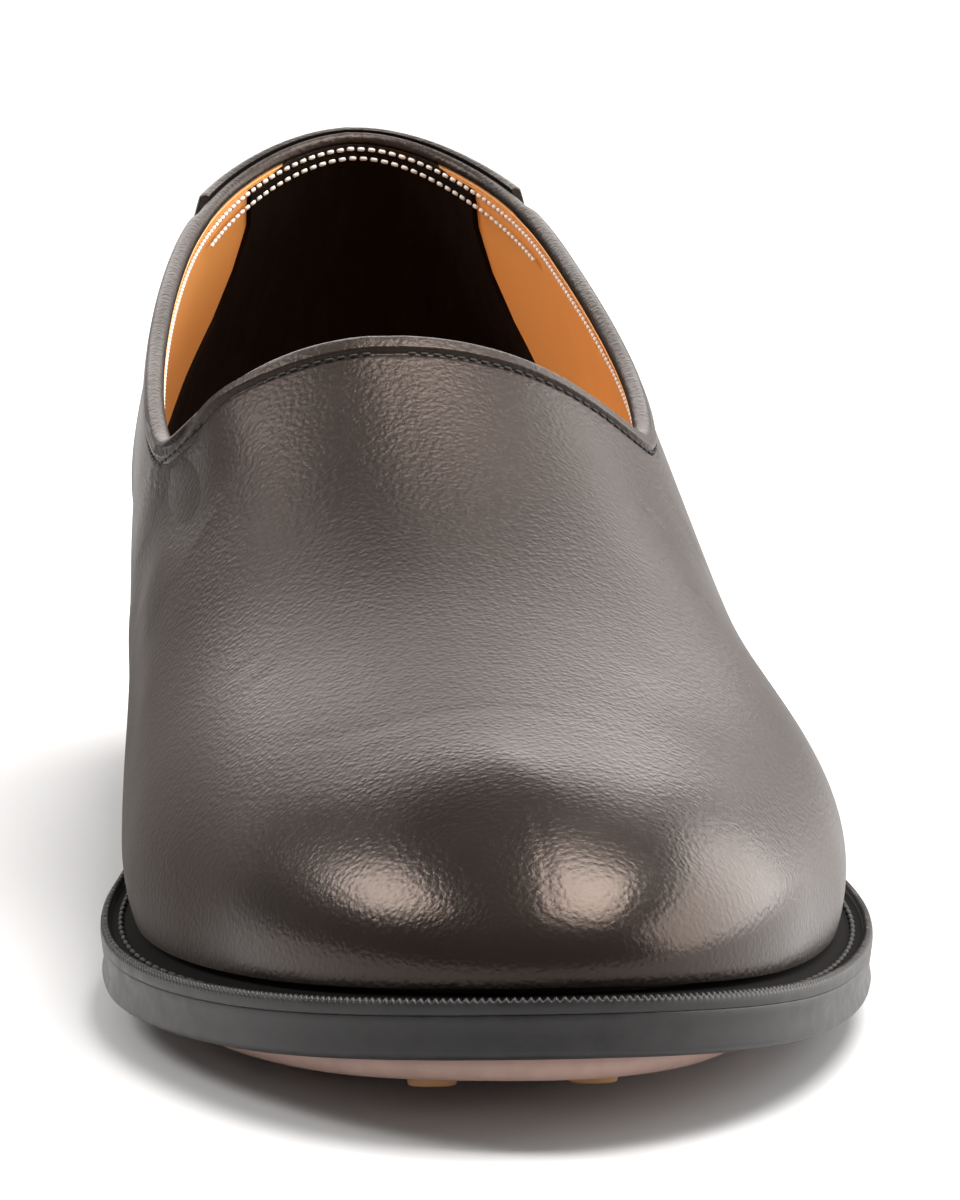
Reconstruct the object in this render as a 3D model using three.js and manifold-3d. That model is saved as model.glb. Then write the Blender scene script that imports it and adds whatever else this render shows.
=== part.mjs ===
// A plain leather slip-on shoe for the left foot: one-piece upper, heel overlay, insole, welt,
// outsole, stacked heel with a rubber top piece, and a studded rubber pad under the forefoot.
// Millimetres. The toe points along -Y, the little-toe side is +X, and the floor is Z = 0.
import * as THREE from "three";
import { mergeVertices } from "three/addons/utils/BufferGeometryUtils.js";
import Module from "manifold-3d";

// Driving sizes of the sole.
const SOLE_LENGTH = 300;
const BALL_WIDTH = 107;
const WAIST_WIDTH = 74;
const HEEL_WIDTH = 68;
const OUTSOLE_THICKNESS = 5.6;
const WELT_THICKNESS = 3.0;
const WELT_LEDGE_FRONT = 4.6;
const WELT_LEDGE_BACK = 2.2;
const WELT_TUCK = 6;
const EDGE_BEVEL = 1.6;
const TOE_SPRING = 8.5;
const HEEL_LIFT = 22;
const HEEL_PITCH = 0.03;
const BREAST_BACK = 232;
const BREAST_HOLLOW = 3;
const HEEL_TAPER = 2.4;
const TOP_PIECE_THICKNESS = 6;
const TOP_PIECE_BEVEL = 0.8;
const PAD_THICKNESS = 3;
const PAD_INSET_MEDIAL = 9.5;
const PAD_INSET_LATERAL = 14;
const PAD_END = 150;
const PAD_RIM = 2.2;
const STUD_HEIGHT = 1;
const STUD_DIAMETER = 6.5;
const STUD_SPACING = 21;
const STUD_MARGIN = 1.5;
const FIRST_STUD_ROW = 30;

// Driving sizes of the upper: heights are above the floor, on the outside of the leather.
const UPPER_WALL = 2.2;
const VAMP_LENGTH = 145;
const TOE_HEIGHT = 45;
const INSTEP_HEIGHT = 84;
const QUARTER_HEIGHT = 67;
const BACK_HEIGHT = 93.5;
const ANKLE_HEIGHT = 132;
const TOE_SEAT = 36;
const HEEL_SEAT = 32;
const BELLY_HEIGHT = 20;
const FOLD_WIDTH = 3.2;
const FOLD_STEP = 0.6;
const FOLD_ROUNDING = 0.7;
const FOLD_FADE = 4;
const OVERLAY_THICKNESS = 1.2;
const OVERLAY_REACH_MEDIAL = 34;
const OVERLAY_REACH_LATERAL = 33;
const OVERLAY_FRONT = 13;
const BACK_STRIP_HALF_WIDTH = 9;
const OVERLAY_FOOT = 0.8;
const OVERLAY_GAP = 0.45;
const OVERLAY_EDGE = 0.5;
const INSOLE_THICKNESS = 3;
const INSOLE_FLANGE = 2.2;
const INSOLE_GAP = 1.4;
const INSOLE_BEVEL = 1.6;
const CLEARANCE = 0.3;

// Rows of faces round the outline and up the leather, and steps of the smaller curves.
const ROWS = 50;
const UPPER_COLUMNS = 13;
const PATH_STEPS = 48;
const TOPLINE_STEPS = 240;
const OVERLAY_TURNS = 14;
const OVERLAY_COLUMNS = 9;
const HEEL_STEPS = 18;
const BREAST_STEPS = 8;
const STUD_SIDES = 12;

const MEDIAL = -1;
const LATERAL = 1;
const WIDTHS = { ball: BALL_WIDTH, waist: WAIST_WIDTH, heel: HEEL_WIDTH };

// The edge of the sole seen from above: along is a share of the length behind the toe tip, and
// across a share of the width that the row follows, out from the shoe's axis.
const TOE_TIP = { along: 0, across: 0.028, follows: "ball" };
const HEEL_TIP = { along: 1, across: 0, follows: "heel" };
const MEDIAL_EDGE = [
  { along: 0.045, across: 0.22, follows: "ball" },
  { along: 0.14, across: 0.382, follows: "ball" },
  { along: 0.26, across: 0.47, follows: "ball" },
  { along: 0.395, across: 0.445, follows: "ball" },
  { along: 0.52, across: 0.525, follows: "waist" },
  { along: 0.65, across: 0.455, follows: "waist" },
  { along: 0.8, across: 0.485, follows: "heel" },
  { along: 0.93, across: 0.445, follows: "heel" },
];
const LATERAL_EDGE = [
  { along: 0.045, across: 0.262, follows: "ball" },
  { along: 0.145, across: 0.412, follows: "ball" },
  { along: 0.275, across: 0.497, follows: "ball" },
  { along: 0.395, across: 0.498, follows: "ball" },
  { along: 0.52, across: 0.66, follows: "waist" },
  { along: 0.65, across: 0.56, follows: "waist" },
  { along: 0.8, across: 0.51, follows: "heel" },
  { along: 0.93, across: 0.45, follows: "heel" },
];

// The middle of the last seen from above as a share of the ball's width, the height of its ridge,
// and how far it leans to the inside of the foot as a share of the instep's height. Along is a
// share of the sole's length.
const SPINE = [
  { along: 0, across: 0.028 },
  { along: 0.14, across: 0.01 },
  { along: 0.32, across: 0.015 },
  { along: 0.52, across: 0.02 },
  { along: 0.66, across: 0.03 },
  { along: 0.85, across: 0.008 },
  { along: 1, across: 0 },
];
const RIDGE = [
  { along: 0.13, up: 1.0, follows: "toe" },
  { along: 0.23, up: 0.61, follows: "instep" },
  { along: 0.33, up: 0.705, follows: "instep" },
  { along: 0.42, up: 0.855, follows: "instep" },
  { along: VAMP_LENGTH / SOLE_LENGTH, up: 1.0, follows: "instep" },
  { along: 0.56, up: 0.76, follows: "ankle" },
  { along: 0.66, up: 0.89, follows: "ankle" },
  { along: 0.8, up: 0.97, follows: "ankle" },
  { along: 1, up: 1.0, follows: "ankle" },
];
const LEAN = [
  { along: 0.06, medial: 0 },
  { along: 0.2, medial: 0.03 },
  { along: 0.34, medial: 0.06 },
  { along: 0.5, medial: 0.124 },
  { along: 0.62, medial: 0.132 },
  { along: 0.8, medial: 0.06 },
  { along: 1, medial: 0.0 },
];
// How round the last is across, and how far its sides bulge as a share of the belly's height.
const FULLNESS = [
  { along: 0.05, medial: 2.3, lateral: 2.3 },
  { along: 0.2, medial: 2.2, lateral: 2.5 },
  { along: 0.35, medial: 1.95, lateral: 2.35 },
  { along: 0.5, medial: 2.25, lateral: 1.92 },
  { along: 0.6, medial: 2.7, lateral: 2.2 },
  { along: 0.7, medial: 2.7, lateral: 2.55 },
  { along: 0.8, medial: 2.0, lateral: 2.05 },
  { along: 0.9, medial: 1.15, lateral: 1.15 },
  { along: 1, medial: 1.7, lateral: 1.7 },
];
const BELLY = [
  { along: 0, medial: 0.06, lateral: 0.06 },
  { along: 0.2, medial: 0.07, lateral: 0.1 },
  { along: 0.34, medial: 0.11, lateral: 0.15 },
  { along: 0.52, medial: 0.25, lateral: 0.11 },
  { along: 0.66, medial: 0.31, lateral: 0.15 },
  { along: 0.84, medial: 0.29, lateral: 0.19 },
  { along: 1, medial: 0.18, lateral: 0.18 },
];
// The edge of the opening seen from the side: along is a share of the way from the throat to the
// back, and up a share of the way between the two heights that the row names.
const TOPLINE = [
  { along: 0, low: "quarter", high: "instep", up: 1 },
  { along: 0.03, low: "quarter", high: "instep", up: 0.64 },
  { along: 0.065, low: "quarter", high: "instep", up: 0.26 },
  { along: 0.115, low: "quarter", high: "instep", up: 0.015 },
  { along: 0.2, low: "quarter", high: "back", up: 0.06 },
  { along: 0.36, low: "quarter", high: "back", up: 0.24 },
  { along: 0.54, low: "quarter", high: "back", up: 0.47 },
  { along: 0.72, low: "quarter", high: "back", up: 0.66 },
  { along: 0.87, low: "quarter", high: "back", up: 0.79 },
  { along: 0.96, low: "quarter", high: "back", up: 0.92 },
  { along: 1, low: "quarter", high: "back", up: 1 },
];
const UPPER_HEIGHTS = {
  toe: TOE_HEIGHT,
  instep: INSTEP_HEIGHT,
  quarter: QUARTER_HEIGHT,
  back: BACK_HEIGHT,
  ankle: ANKLE_HEIGHT,
};

// Sides of the sole pieces from below upwards: up is a share of the piece's thickness, and in is
// the inset from the edge as a share of the edge's bevel, or of the pad's rim. The heel's rows
// hold the height between the top piece and the sole, and shares of the heel's taper.
const OUTSOLE_SIDE = [
  { up: 0, in: 1 },
  { up: 0.16, in: 0.25 },
  { up: 0.55, in: 0.47 },
  { up: 0.93, in: 0.16 },
  { up: 1, in: 0.38 },
];
const WELT_SIDE = [
  { up: 0, in: 0.38 },
  { up: 0.14, in: 0.12 },
  { up: 0.8, in: 0 },
  { up: 1, in: 0.44 },
];
const PAD_SIDE = [
  { up: 0, in: 1 },
  { up: 0.2, in: 0.4 },
  { up: 0.6, in: 0 },
  { up: 1, in: 0.15 },
];
const HEEL_SIDE = [
  { up: 0, in: 1 },
  { up: 0.35, in: 0.75 },
  { up: 0.75, in: 0.5 },
  { up: 1, in: 0.4 },
];

// Where along the sole's length its underside and the welt's ledge change.
const SPRING_FROM = 0.29;
const ARCH_FROM = 0.395;
const ARCH_TO = 0.765;
const LEDGE_FROM = 0.36;
const LEDGE_TO = 0.62;

const smooth = (from, to, x) => THREE.MathUtils.smoothstep(x, from, to);
const mix = THREE.MathUtils.lerp;

// A curve with steady bend through a table's values, straight beyond both ends.
function tableCurve(rows, value) {
  const at = rows.map((row) => row.along * SOLE_LENGTH);
  const values = rows.map(value);
  const bends = values.map(() => 0);
  for (let pass = 0; pass < 80; pass++) {
    for (let i = 1; i < at.length - 1; i++) {
      const before = at[i] - at[i - 1];
      const after = at[i + 1] - at[i];
      const turn = (values[i + 1] - values[i]) / after - (values[i] - values[i - 1]) / before;
      bends[i] = (6 * turn - before * bends[i - 1] - after * bends[i + 1]) / (2 * (before + after));
    }
  }
  const last = at.length - 1;
  return (x) => {
    let i = 0;
    while (i < last - 1 && x > at[i + 1]) i++;
    const span = at[i + 1] - at[i];
    const rise = (values[i + 1] - values[i]) / span;
    if (x < at[0]) return values[0] + (x - at[0]) * (rise - (span * bends[1]) / 6);
    if (x > at[last]) return values[last] + (x - at[last]) * (rise + (span * bends[last - 1]) / 6);
    const a = (at[i + 1] - x) / span;
    const b = 1 - a;
    const swell = (a ** 3 - a) * bends[i] + (b ** 3 - b) * bends[i + 1];
    return a * values[i] + b * values[i + 1] + (swell * span * span) / 6;
  };
}

// A B-spline through points in the plane, closed or open: t counts points from the first.
function smoothThrough(points, closed) {
  const count = points.length;
  const turned = (i) => (i + count) % count;
  const neighbour = (list, i) => {
    if (closed) return list[turned(i)];
    if (i < 0) return list[0].clone().multiplyScalar(2).sub(list[1]);
    if (i >= count) return list[count - 1].clone().multiplyScalar(2).sub(list[count - 2]);
    return list[i];
  };
  let controls = points.map((point) => point.clone());
  for (let pass = 0; pass < 60; pass++) {
    controls = points.map((point, i) => {
      if (!closed && (i === 0 || i === count - 1)) return point.clone();
      const sides = neighbour(controls, i - 1).clone().add(neighbour(controls, i + 1));
      return point.clone().multiplyScalar(6).sub(sides).divideScalar(4);
    });
  }
  const blend = (t, weights) => {
    const start = closed ? Math.floor(t) : Math.min(Math.floor(t), count - 2);
    const f = t - start;
    const sum = new THREE.Vector2();
    weights(f).forEach((weight, k) => sum.addScaledVector(neighbour(controls, start + k - 1), weight));
    return sum;
  };
  const place = (f) => [
    (1 - f) ** 3 / 6,
    (3 * f ** 3 - 6 * f ** 2 + 4) / 6,
    (-3 * f ** 3 + 3 * f ** 2 + 3 * f + 1) / 6,
    f ** 3 / 6,
  ];
  const slope = (f) => [
    -((1 - f) ** 2) / 2,
    (3 * f ** 2 - 4 * f) / 2,
    (-3 * f ** 2 + 2 * f + 1) / 2,
    f ** 2 / 2,
  ];
  return { at: (t) => blend(t, place), slope: (t) => blend(t, slope) };
}

// The value between low and high where a rising function reaches a target.
function solve(low, high, target, rising) {
  for (let pass = 0; pass < 44; pass++) {
    const middle = (low + high) / 2;
    if (rising(middle) < target) low = middle;
    else high = middle;
  }
  return (low + high) / 2;
}

// Plan of the sole. Points are Vector2(x, back), and half runs from 0 at the toe to 1 at the heel.
const edgePoint = (row, side) =>
  new THREE.Vector2(side * row.across * WIDTHS[row.follows], row.along * SOLE_LENGTH);
const OUTLINE_POINTS = [
  edgePoint(TOE_TIP, LATERAL),
  ...MEDIAL_EDGE.map((row) => edgePoint(row, MEDIAL)),
  edgePoint(HEEL_TIP, LATERAL),
  ...LATERAL_EDGE.map((row) => edgePoint(row, LATERAL)).reverse(),
];
const outline = smoothThrough(OUTLINE_POINTS, true);

function edgeInset(side, half, inset) {
  const turn = side === MEDIAL ? half / 2 : 1 - half / 2;
  const t = turn * OUTLINE_POINTS.length;
  const slope = outline.slope(t).normalize();
  return outline.at(t).add(new THREE.Vector2(slope.y, -slope.x).multiplyScalar(inset));
}

function halfAt(side, inset, back) {
  return solve(0, 1, back, (half) => edgeInset(side, half, inset).y);
}

// Heights along the sole.
const TREAD_LEVEL = STUD_HEIGHT + PAD_THICKNESS + CLEARANCE;
const SPRING_START = SOLE_LENGTH * SPRING_FROM;
const ARCH_START = SOLE_LENGTH * ARCH_FROM;
const ARCH_END = SOLE_LENGTH * ARCH_TO;

function soleUnder(back) {
  if (back < SPRING_START) return TREAD_LEVEL + TOE_SPRING * (1 - back / SPRING_START) ** 2;
  if (back < ARCH_START) return TREAD_LEVEL;
  if (back > ARCH_END) return HEEL_LIFT + HEEL_PITCH * (back - ARCH_END);
  const run = ARCH_END - ARCH_START;
  const x = (back - ARCH_START) / run;
  const rise = HEEL_LIFT - TREAD_LEVEL;
  return TREAD_LEVEL + rise * (3 * x ** 2 - 2 * x ** 3) + HEEL_PITCH * run * (x ** 3 - x ** 2);
}

const WELT_LEVEL = OUTSOLE_THICKNESS + CLEARANCE;
const FEATHER_LEVEL = WELT_LEVEL + WELT_THICKNESS + CLEARANCE;
const ledge = (back) =>
  mix(WELT_LEDGE_FRONT, WELT_LEDGE_BACK, smooth(LEDGE_FROM, LEDGE_TO, back / SOLE_LENGTH));

function feather(side, half) {
  const back = edgeInset(side, half, 0).y;
  const plan = edgeInset(side, half, ledge(back));
  return new THREE.Vector3(plan.x, plan.y, soleUnder(plan.y) + FEATHER_LEVEL);
}

// The last: rays run from the spine out to the feather edge, and the surface falls along each from
// the ridge. rho is 0 at the spine and 1 at the feather.
const RAY_POWER = { [MEDIAL]: 1.9, [LATERAL]: 2.15 };
const SEAT_SOFTNESS = 24;
const spineAcross = tableCurve(SPINE, (row) => row.across * BALL_WIDTH);
const ridge = tableCurve(RIDGE, (row) => row.up * UPPER_HEIGHTS[row.follows]);
const lean = tableCurve(LEAN, (row) => row.medial * INSTEP_HEIGHT);
const fullness = {
  [MEDIAL]: tableCurve(FULLNESS, (row) => row.medial),
  [LATERAL]: tableCurve(FULLNESS, (row) => row.lateral),
};
const bellies = {
  [MEDIAL]: tableCurve(BELLY, (row) => row.medial * BELLY_HEIGHT),
  [LATERAL]: tableCurve(BELLY, (row) => row.lateral * BELLY_HEIGHT),
};

function ray(side, half) {
  const foot = feather(side, half);
  const front = TOE_SEAT;
  const rear = SOLE_LENGTH - HEEL_SEAT;
  const behindToe = (foot.y + front + Math.hypot(foot.y - front, SEAT_SOFTNESS)) / 2;
  const back = (behindToe + rear - Math.hypot(behindToe - rear, SEAT_SOFTNESS)) / 2;
  return { side, foot, root: new THREE.Vector2(spineAcross(back), back) };
}

function lastPoint({ side, foot, root }, rho) {
  const x = mix(root.x, foot.x, rho);
  const back = mix(root.y, foot.y, rho);
  const share = Math.max(0, 1 - rho ** RAY_POWER[side]) ** (1 / fullness[side](back));
  const height = (ridge(back) - foot.z) * share;
  const depth = height / BELLY_HEIGHT;
  const belly = bellies[side](back) * depth * Math.exp(1 - depth) * rho ** 3;
  const out = new THREE.Vector2(foot.x - root.x, foot.y - root.y).setLength(belly);
  return new THREE.Vector3(x + out.x - lean(back) * share, back + out.y, foot.z + height);
}

// The ray and rho that hold a point of the plan.
const TOE_RAY = ray(MEDIAL, 0);
const HEEL_RAY = ray(MEDIAL, 1);

function middleAt(back) {
  const { foot, root } = back < TOE_RAY.root.y ? TOE_RAY : HEEL_RAY;
  if (back > TOE_RAY.root.y && back < HEEL_RAY.root.y) return spineAcross(back);
  return mix(root.x, foot.x, (back - root.y) / (foot.y - root.y));
}

function surfaceAt(plan) {
  const side = plan.x < middleAt(plan.y) ? MEDIAL : LATERAL;
  const behind = (half) => {
    const { foot, root } = ray(side, half);
    return -side * ((foot.x - root.x) * (plan.y - root.y) - (foot.y - root.y) * (plan.x - root.x));
  };
  const found = ray(side, solve(0, 1, 0, behind));
  const { foot, root } = found;
  const reach = new THREE.Vector2(foot.x - root.x, foot.y - root.y);
  const rho = new THREE.Vector2(plan.x - root.x, plan.y - root.y).dot(reach) / reach.lengthSq();
  return lastPoint(found, THREE.MathUtils.clamp(rho, 0, 1));
}

// The topline of one side, from the throat's middle to the back, sampled by its real length.
const OPENING_LENGTH = SOLE_LENGTH - WELT_LEDGE_BACK - VAMP_LENGTH;

function toplineOf(side) {
  const profile = smoothThrough(
    TOPLINE.map(({ along, low, high, up }) => {
      const height = mix(UPPER_HEIGHTS[low], UPPER_HEIGHTS[high], up);
      return new THREE.Vector2(VAMP_LENGTH + along * OPENING_LENGTH, height);
    }),
    false,
  );
  const station = (t) => {
    const { x: back, y: height } = profile.at(t);
    const half = solve(0, 1, back, (h) => feather(side, h).y);
    const own = ray(side, half);
    const rho = solve(0, 1, -height, (r) => -lastPoint(own, r).z);
    const plan = new THREE.Vector2(mix(own.root.x, own.foot.x, rho), mix(own.root.y, own.foot.y, rho));
    return { half, plan, point: lastPoint(own, rho) };
  };
  const samples = [];
  let walked = 0;
  for (let k = 0; k <= TOPLINE_STEPS; k++) {
    const share = k / TOPLINE_STEPS;
    const t = (TOPLINE.length - 1) * share * mix(share, 1, share);
    const here = station(t);
    if (k > 0) walked += here.point.distanceTo(samples[k - 1].point);
    samples.push({ t, walked, ...here });
  }
  const between = (key, value, wanted) => {
    let k = 1;
    while (k < TOPLINE_STEPS && samples[k][key] < value) k++;
    const span = samples[k][key] - samples[k - 1][key];
    return mix(samples[k - 1][wanted], samples[k][wanted], (value - samples[k - 1][key]) / span);
  };
  return { station, length: walked, between };
}
const toplines = { [MEDIAL]: toplineOf(MEDIAL), [LATERAL]: toplineOf(LATERAL) };

// Where on the topline the leather above a feather point ends. Behind the corner it ends on its
// own ray, and in front of it the rows gather towards the throat, partly evenly.
const GATHER_SHARE = 0.24;
const GATHER_END = VAMP_LENGTH + GATHER_SHARE * OPENING_LENGTH;
const GATHER_EVEN = 0.42;

function gathering(side) {
  const line = toplines[side];
  const half = halfAt(side, WELT_LEDGE_BACK, GATHER_END);
  const reach = line.between("half", half, "walked");
  const step = 0.01;
  const slope = (line.between("half", half + step, "walked") - reach) / step;
  const power = ((slope * half) / reach - GATHER_EVEN) / (1 - GATHER_EVEN);
  return (start) => {
    if (start >= half) return line.between("half", start, "walked");
    const share = start / half;
    return reach * mix(share ** power, share, GATHER_EVEN);
  };
}
const gatherings = { [MEDIAL]: gathering(MEDIAL), [LATERAL]: gathering(LATERAL) };

// One row of the leather from the feather to the topline, sampled by the length along it, closer
// near the feather, where the surface is steep.
const STEEP_SPACING = 2.4;
const COLUMN_SPACING = 1.25;

function leatherRow(side, half) {
  const line = toplines[side];
  const walked = Math.min(gatherings[side](half), line.length);
  const top = line.station(line.between("walked", walked, "t"));
  const foot = feather(side, half);
  const start = new THREE.Vector2(foot.x, foot.y);
  const place = (share) => surfaceAt(start.clone().lerp(top.plan, share));
  const samples = [{ share: 0, length: 0, point: place(0) }];
  for (let k = 1; k <= PATH_STEPS; k++) {
    const share = (k / PATH_STEPS) ** STEEP_SPACING;
    const point = place(share);
    const before = samples[k - 1];
    samples.push({ share, length: before.length + point.distanceTo(before.point), point });
  }
  const length = samples[PATH_STEPS].length;
  return {
    side,
    length,
    fromBack: line.length - walked,
    at: (distance) => {
      let k = 1;
      while (k < PATH_STEPS && samples[k].length < distance) k++;
      const span = samples[k].length - samples[k - 1].length;
      const part = THREE.MathUtils.clamp((distance - samples[k - 1].length) / span, 0, 1);
      return place(mix(samples[k - 1].share, samples[k].share, part));
    },
  };
}

// Outward directions at the points of a grid of rows, each row from below upwards.
function gridNormals(grid, wrapped) {
  const count = grid.length;
  const row = (i) => (wrapped ? grid[(i + count) % count] : grid[THREE.MathUtils.clamp(i, 0, count - 1)]);
  return grid.map((points, i) =>
    points.map((point, j) => {
      const along = row(i + 1)[j].clone().sub(row(i - 1)[j]);
      const up = points[Math.min(j + 1, points.length - 1)].clone().sub(points[Math.max(j - 1, 0)]);
      return up.cross(along).normalize();
    }),
  );
}

// A closed mesh from faces over a list of points.
class Faces {
  constructor() {
    this.points = [];
    this.triangles = [];
  }
  add(points) {
    const start = this.points.length;
    this.points.push(...points);
    return points.map((_, i) => start + i);
  }
  quad(a, b, c, d) {
    this.triangles.push(a, b, c, a, c, d);
  }
  // Faces between two loops of as many points. The loops turn anticlockwise seen from outside.
  band(lower, upper) {
    const count = lower.length;
    for (let i = 0; i < count; i++) {
      const next = (i + 1) % count;
      this.quad(lower[i], lower[next], upper[next], upper[i]);
    }
  }
  geometry() {
    const geometry = new THREE.BufferGeometry();
    const flat = this.points.flatMap((point) => [point.x, point.y, point.z]);
    geometry.setAttribute("position", new THREE.Float32BufferAttribute(flat, 3));
    geometry.setIndex(this.triangles);
    geometry.computeVertexNormals();
    return geometry;
  }
}

// A lid over a loop whose two sides face each other: the loop starts at the toe, goes back along
// the inside of the foot and returns along the outside.
function lid(faces, loop, upward) {
  const count = loop.length;
  const face = (a, b, c) => {
    if (upward) faces.triangles.push(a, b, c);
    else faces.triangles.push(a, c, b);
  };
  for (let i = 0; i + 1 < count - i; i++) {
    const near = loop[i];
    const far = loop[(count - i) % count];
    const nextNear = loop[i + 1];
    const nextFar = loop[count - i - 1];
    if (i > 0) face(near, far, nextNear);
    if (nextNear !== nextFar) face(far === near ? near : far, nextFar, nextNear);
  }
}

// The edge of a sole piece as a loop: halves run from the toe back to the end and return.
function edgeLoop(inset, level, end = 1) {
  const point = (side, half) => {
    const back = edgeInset(side, half, 0).y;
    const plan = edgeInset(side, half, inset(back, side, half));
    return new THREE.Vector3(plan.x, plan.y, soleUnder(plan.y) + level);
  };
  const halves = Array.from({ length: ROWS + 1 }, (_, i) => (i / ROWS) * end);
  const inner = halves.map((half) => point(MEDIAL, half));
  const outer = halves.map((half) => point(LATERAL, half));
  const closedBack = end === 1 ? outer.slice(1, -1) : outer.slice(1);
  return [...inner, ...closedBack.reverse()];
}

// A solid between a bottom and a top loop, with its sides from a list of loops.
function plate(loops) {
  const faces = new Faces();
  const rings = loops.map((loop) => faces.add(loop));
  for (let k = 1; k < rings.length; k++) faces.band(rings[k], rings[k - 1]);
  lid(faces, rings[0], false);
  lid(faces, rings[rings.length - 1], true);
  return faces.geometry();
}

// A solid ring: the last loop closes on the first.
function ring(loops) {
  const faces = new Faces();
  const rings = loops.map((loop) => faces.add(loop));
  rings.forEach((loop, k) => faces.band(rings[(k + 1) % rings.length], loop));
  return faces.geometry();
}

function outsoleGeometry() {
  const inset = (row) => row.in * EDGE_BEVEL;
  return plate(OUTSOLE_SIDE.map((row) => edgeLoop(() => inset(row), row.up * OUTSOLE_THICKNESS)));
}

const weltInner = (back) => ledge(back) + UPPER_WALL + WELT_TUCK;

function weltGeometry() {
  const outside = WELT_SIDE.map((row) =>
    edgeLoop(() => row.in * EDGE_BEVEL, WELT_LEVEL + row.up * WELT_THICKNESS),
  );
  const inside = [edgeLoop(weltInner, WELT_LEVEL + WELT_THICKNESS), edgeLoop(weltInner, WELT_LEVEL)];
  return ring([...outside, ...inside]);
}

function insoleGeometry() {
  const fitted = (back) => ledge(back) + UPPER_WALL + INSOLE_GAP;
  const sunk = (back) => weltInner(back) + CLEARANCE;
  return plate([
    edgeLoop(sunk, WELT_LEVEL),
    edgeLoop(sunk, FEATHER_LEVEL),
    edgeLoop(fitted, FEATHER_LEVEL),
    edgeLoop(fitted, FEATHER_LEVEL + INSOLE_FLANGE),
    edgeLoop((back) => fitted(back) + INSOLE_BEVEL, FEATHER_LEVEL + INSOLE_THICKNESS),
  ]);
}

// How far from the back the overlay reaches along the topline, and the height of the turned edge's
// step, which fades out before it gets there.
const OVERLAY_REACH = { [MEDIAL]: OVERLAY_REACH_MEDIAL, [LATERAL]: OVERLAY_REACH_LATERAL };
const FOLD_MARGIN = 6;

function foldStep({ side, fromBack }) {
  const from = OVERLAY_REACH[side] + FOLD_MARGIN;
  return FOLD_STEP * smooth(from, from + FOLD_FADE, fromBack);
}

function upperGeometry() {
  const halves = Array.from({ length: ROWS + 1 }, (_, i) => i / ROWS);
  const inner = halves.map((half) => leatherRow(MEDIAL, half));
  const outer = halves.slice(1, -1).map((half) => leatherRow(LATERAL, half));
  const rows = [...inner, ...outer.reverse()];
  const body = Array.from({ length: UPPER_COLUMNS }, (_, j) => j / (UPPER_COLUMNS - 1));
  const grid = rows.map((row) => {
    const plain = row.length - FOLD_WIDTH;
    const spaced = body.map((share) => plain * share ** COLUMN_SPACING);
    const lengths = [...spaced, row.length - FOLD_ROUNDING, row.length];
    return lengths.map((length) => row.at(length));
  });
  const normals = gridNormals(grid, true);
  const sheet = (j, offset) =>
    grid.map((points, i) => {
      const depth = typeof offset === "function" ? offset(rows[i]) : offset;
      return points[j].clone().addScaledVector(normals[i][j], depth);
    });
  const top = UPPER_COLUMNS + 1;
  const loops = [];
  for (let j = 0; j < UPPER_COLUMNS; j++) loops.push(sheet(j, 0));
  loops.push(sheet(UPPER_COLUMNS - 1, foldStep));
  loops.push(sheet(UPPER_COLUMNS, foldStep));
  loops.push(sheet(top, (row) => foldStep(row) - FOLD_STEP));
  for (let j = top; j > 0; j -= 2) loops.push(sheet(j, -UPPER_WALL));
  loops.push(sheet(0, -UPPER_WALL));
  return ring(foldLifted(loops));
}

// The fold's step leans a little, so that its two loops lie apart.
const FOLD_SLOPE = 0.12;

function foldLifted(loops) {
  const step = UPPER_COLUMNS;
  const lifted = loops[step].map((point, i) => point.clone().lerp(loops[step + 1][i], FOLD_SLOPE));
  return loops.map((loop, k) => (k === step ? lifted : loop));
}

// The heel overlay: wide at the topline and narrowing down to a strip at the back. Its rows hold
// how far they lie from the back, and how low they start between the front's height and the foot.
function overlayRows(side) {
  const rows = [];
  for (let k = 0; k <= OVERLAY_TURNS; k++) {
    const angle = (Math.PI / 2) * (1 - k / OVERLAY_TURNS);
    const reach = mix(BACK_STRIP_HALF_WIDTH, OVERLAY_REACH[side], 1 - Math.cos(angle));
    rows.push({ low: Math.sin(angle), reach });
  }
  const strip = [2 / 3, 1 / 3].map((share) => ({ low: 0, reach: BACK_STRIP_HALF_WIDTH * share }));
  return [...rows, ...strip].map(({ low, reach }) => {
    const line = toplines[side];
    const row = leatherRow(side, line.between("walked", line.length - reach, "half"));
    return { row, bottom: mix(OVERLAY_FOOT, row.length - OVERLAY_FRONT, low) };
  });
}

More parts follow.
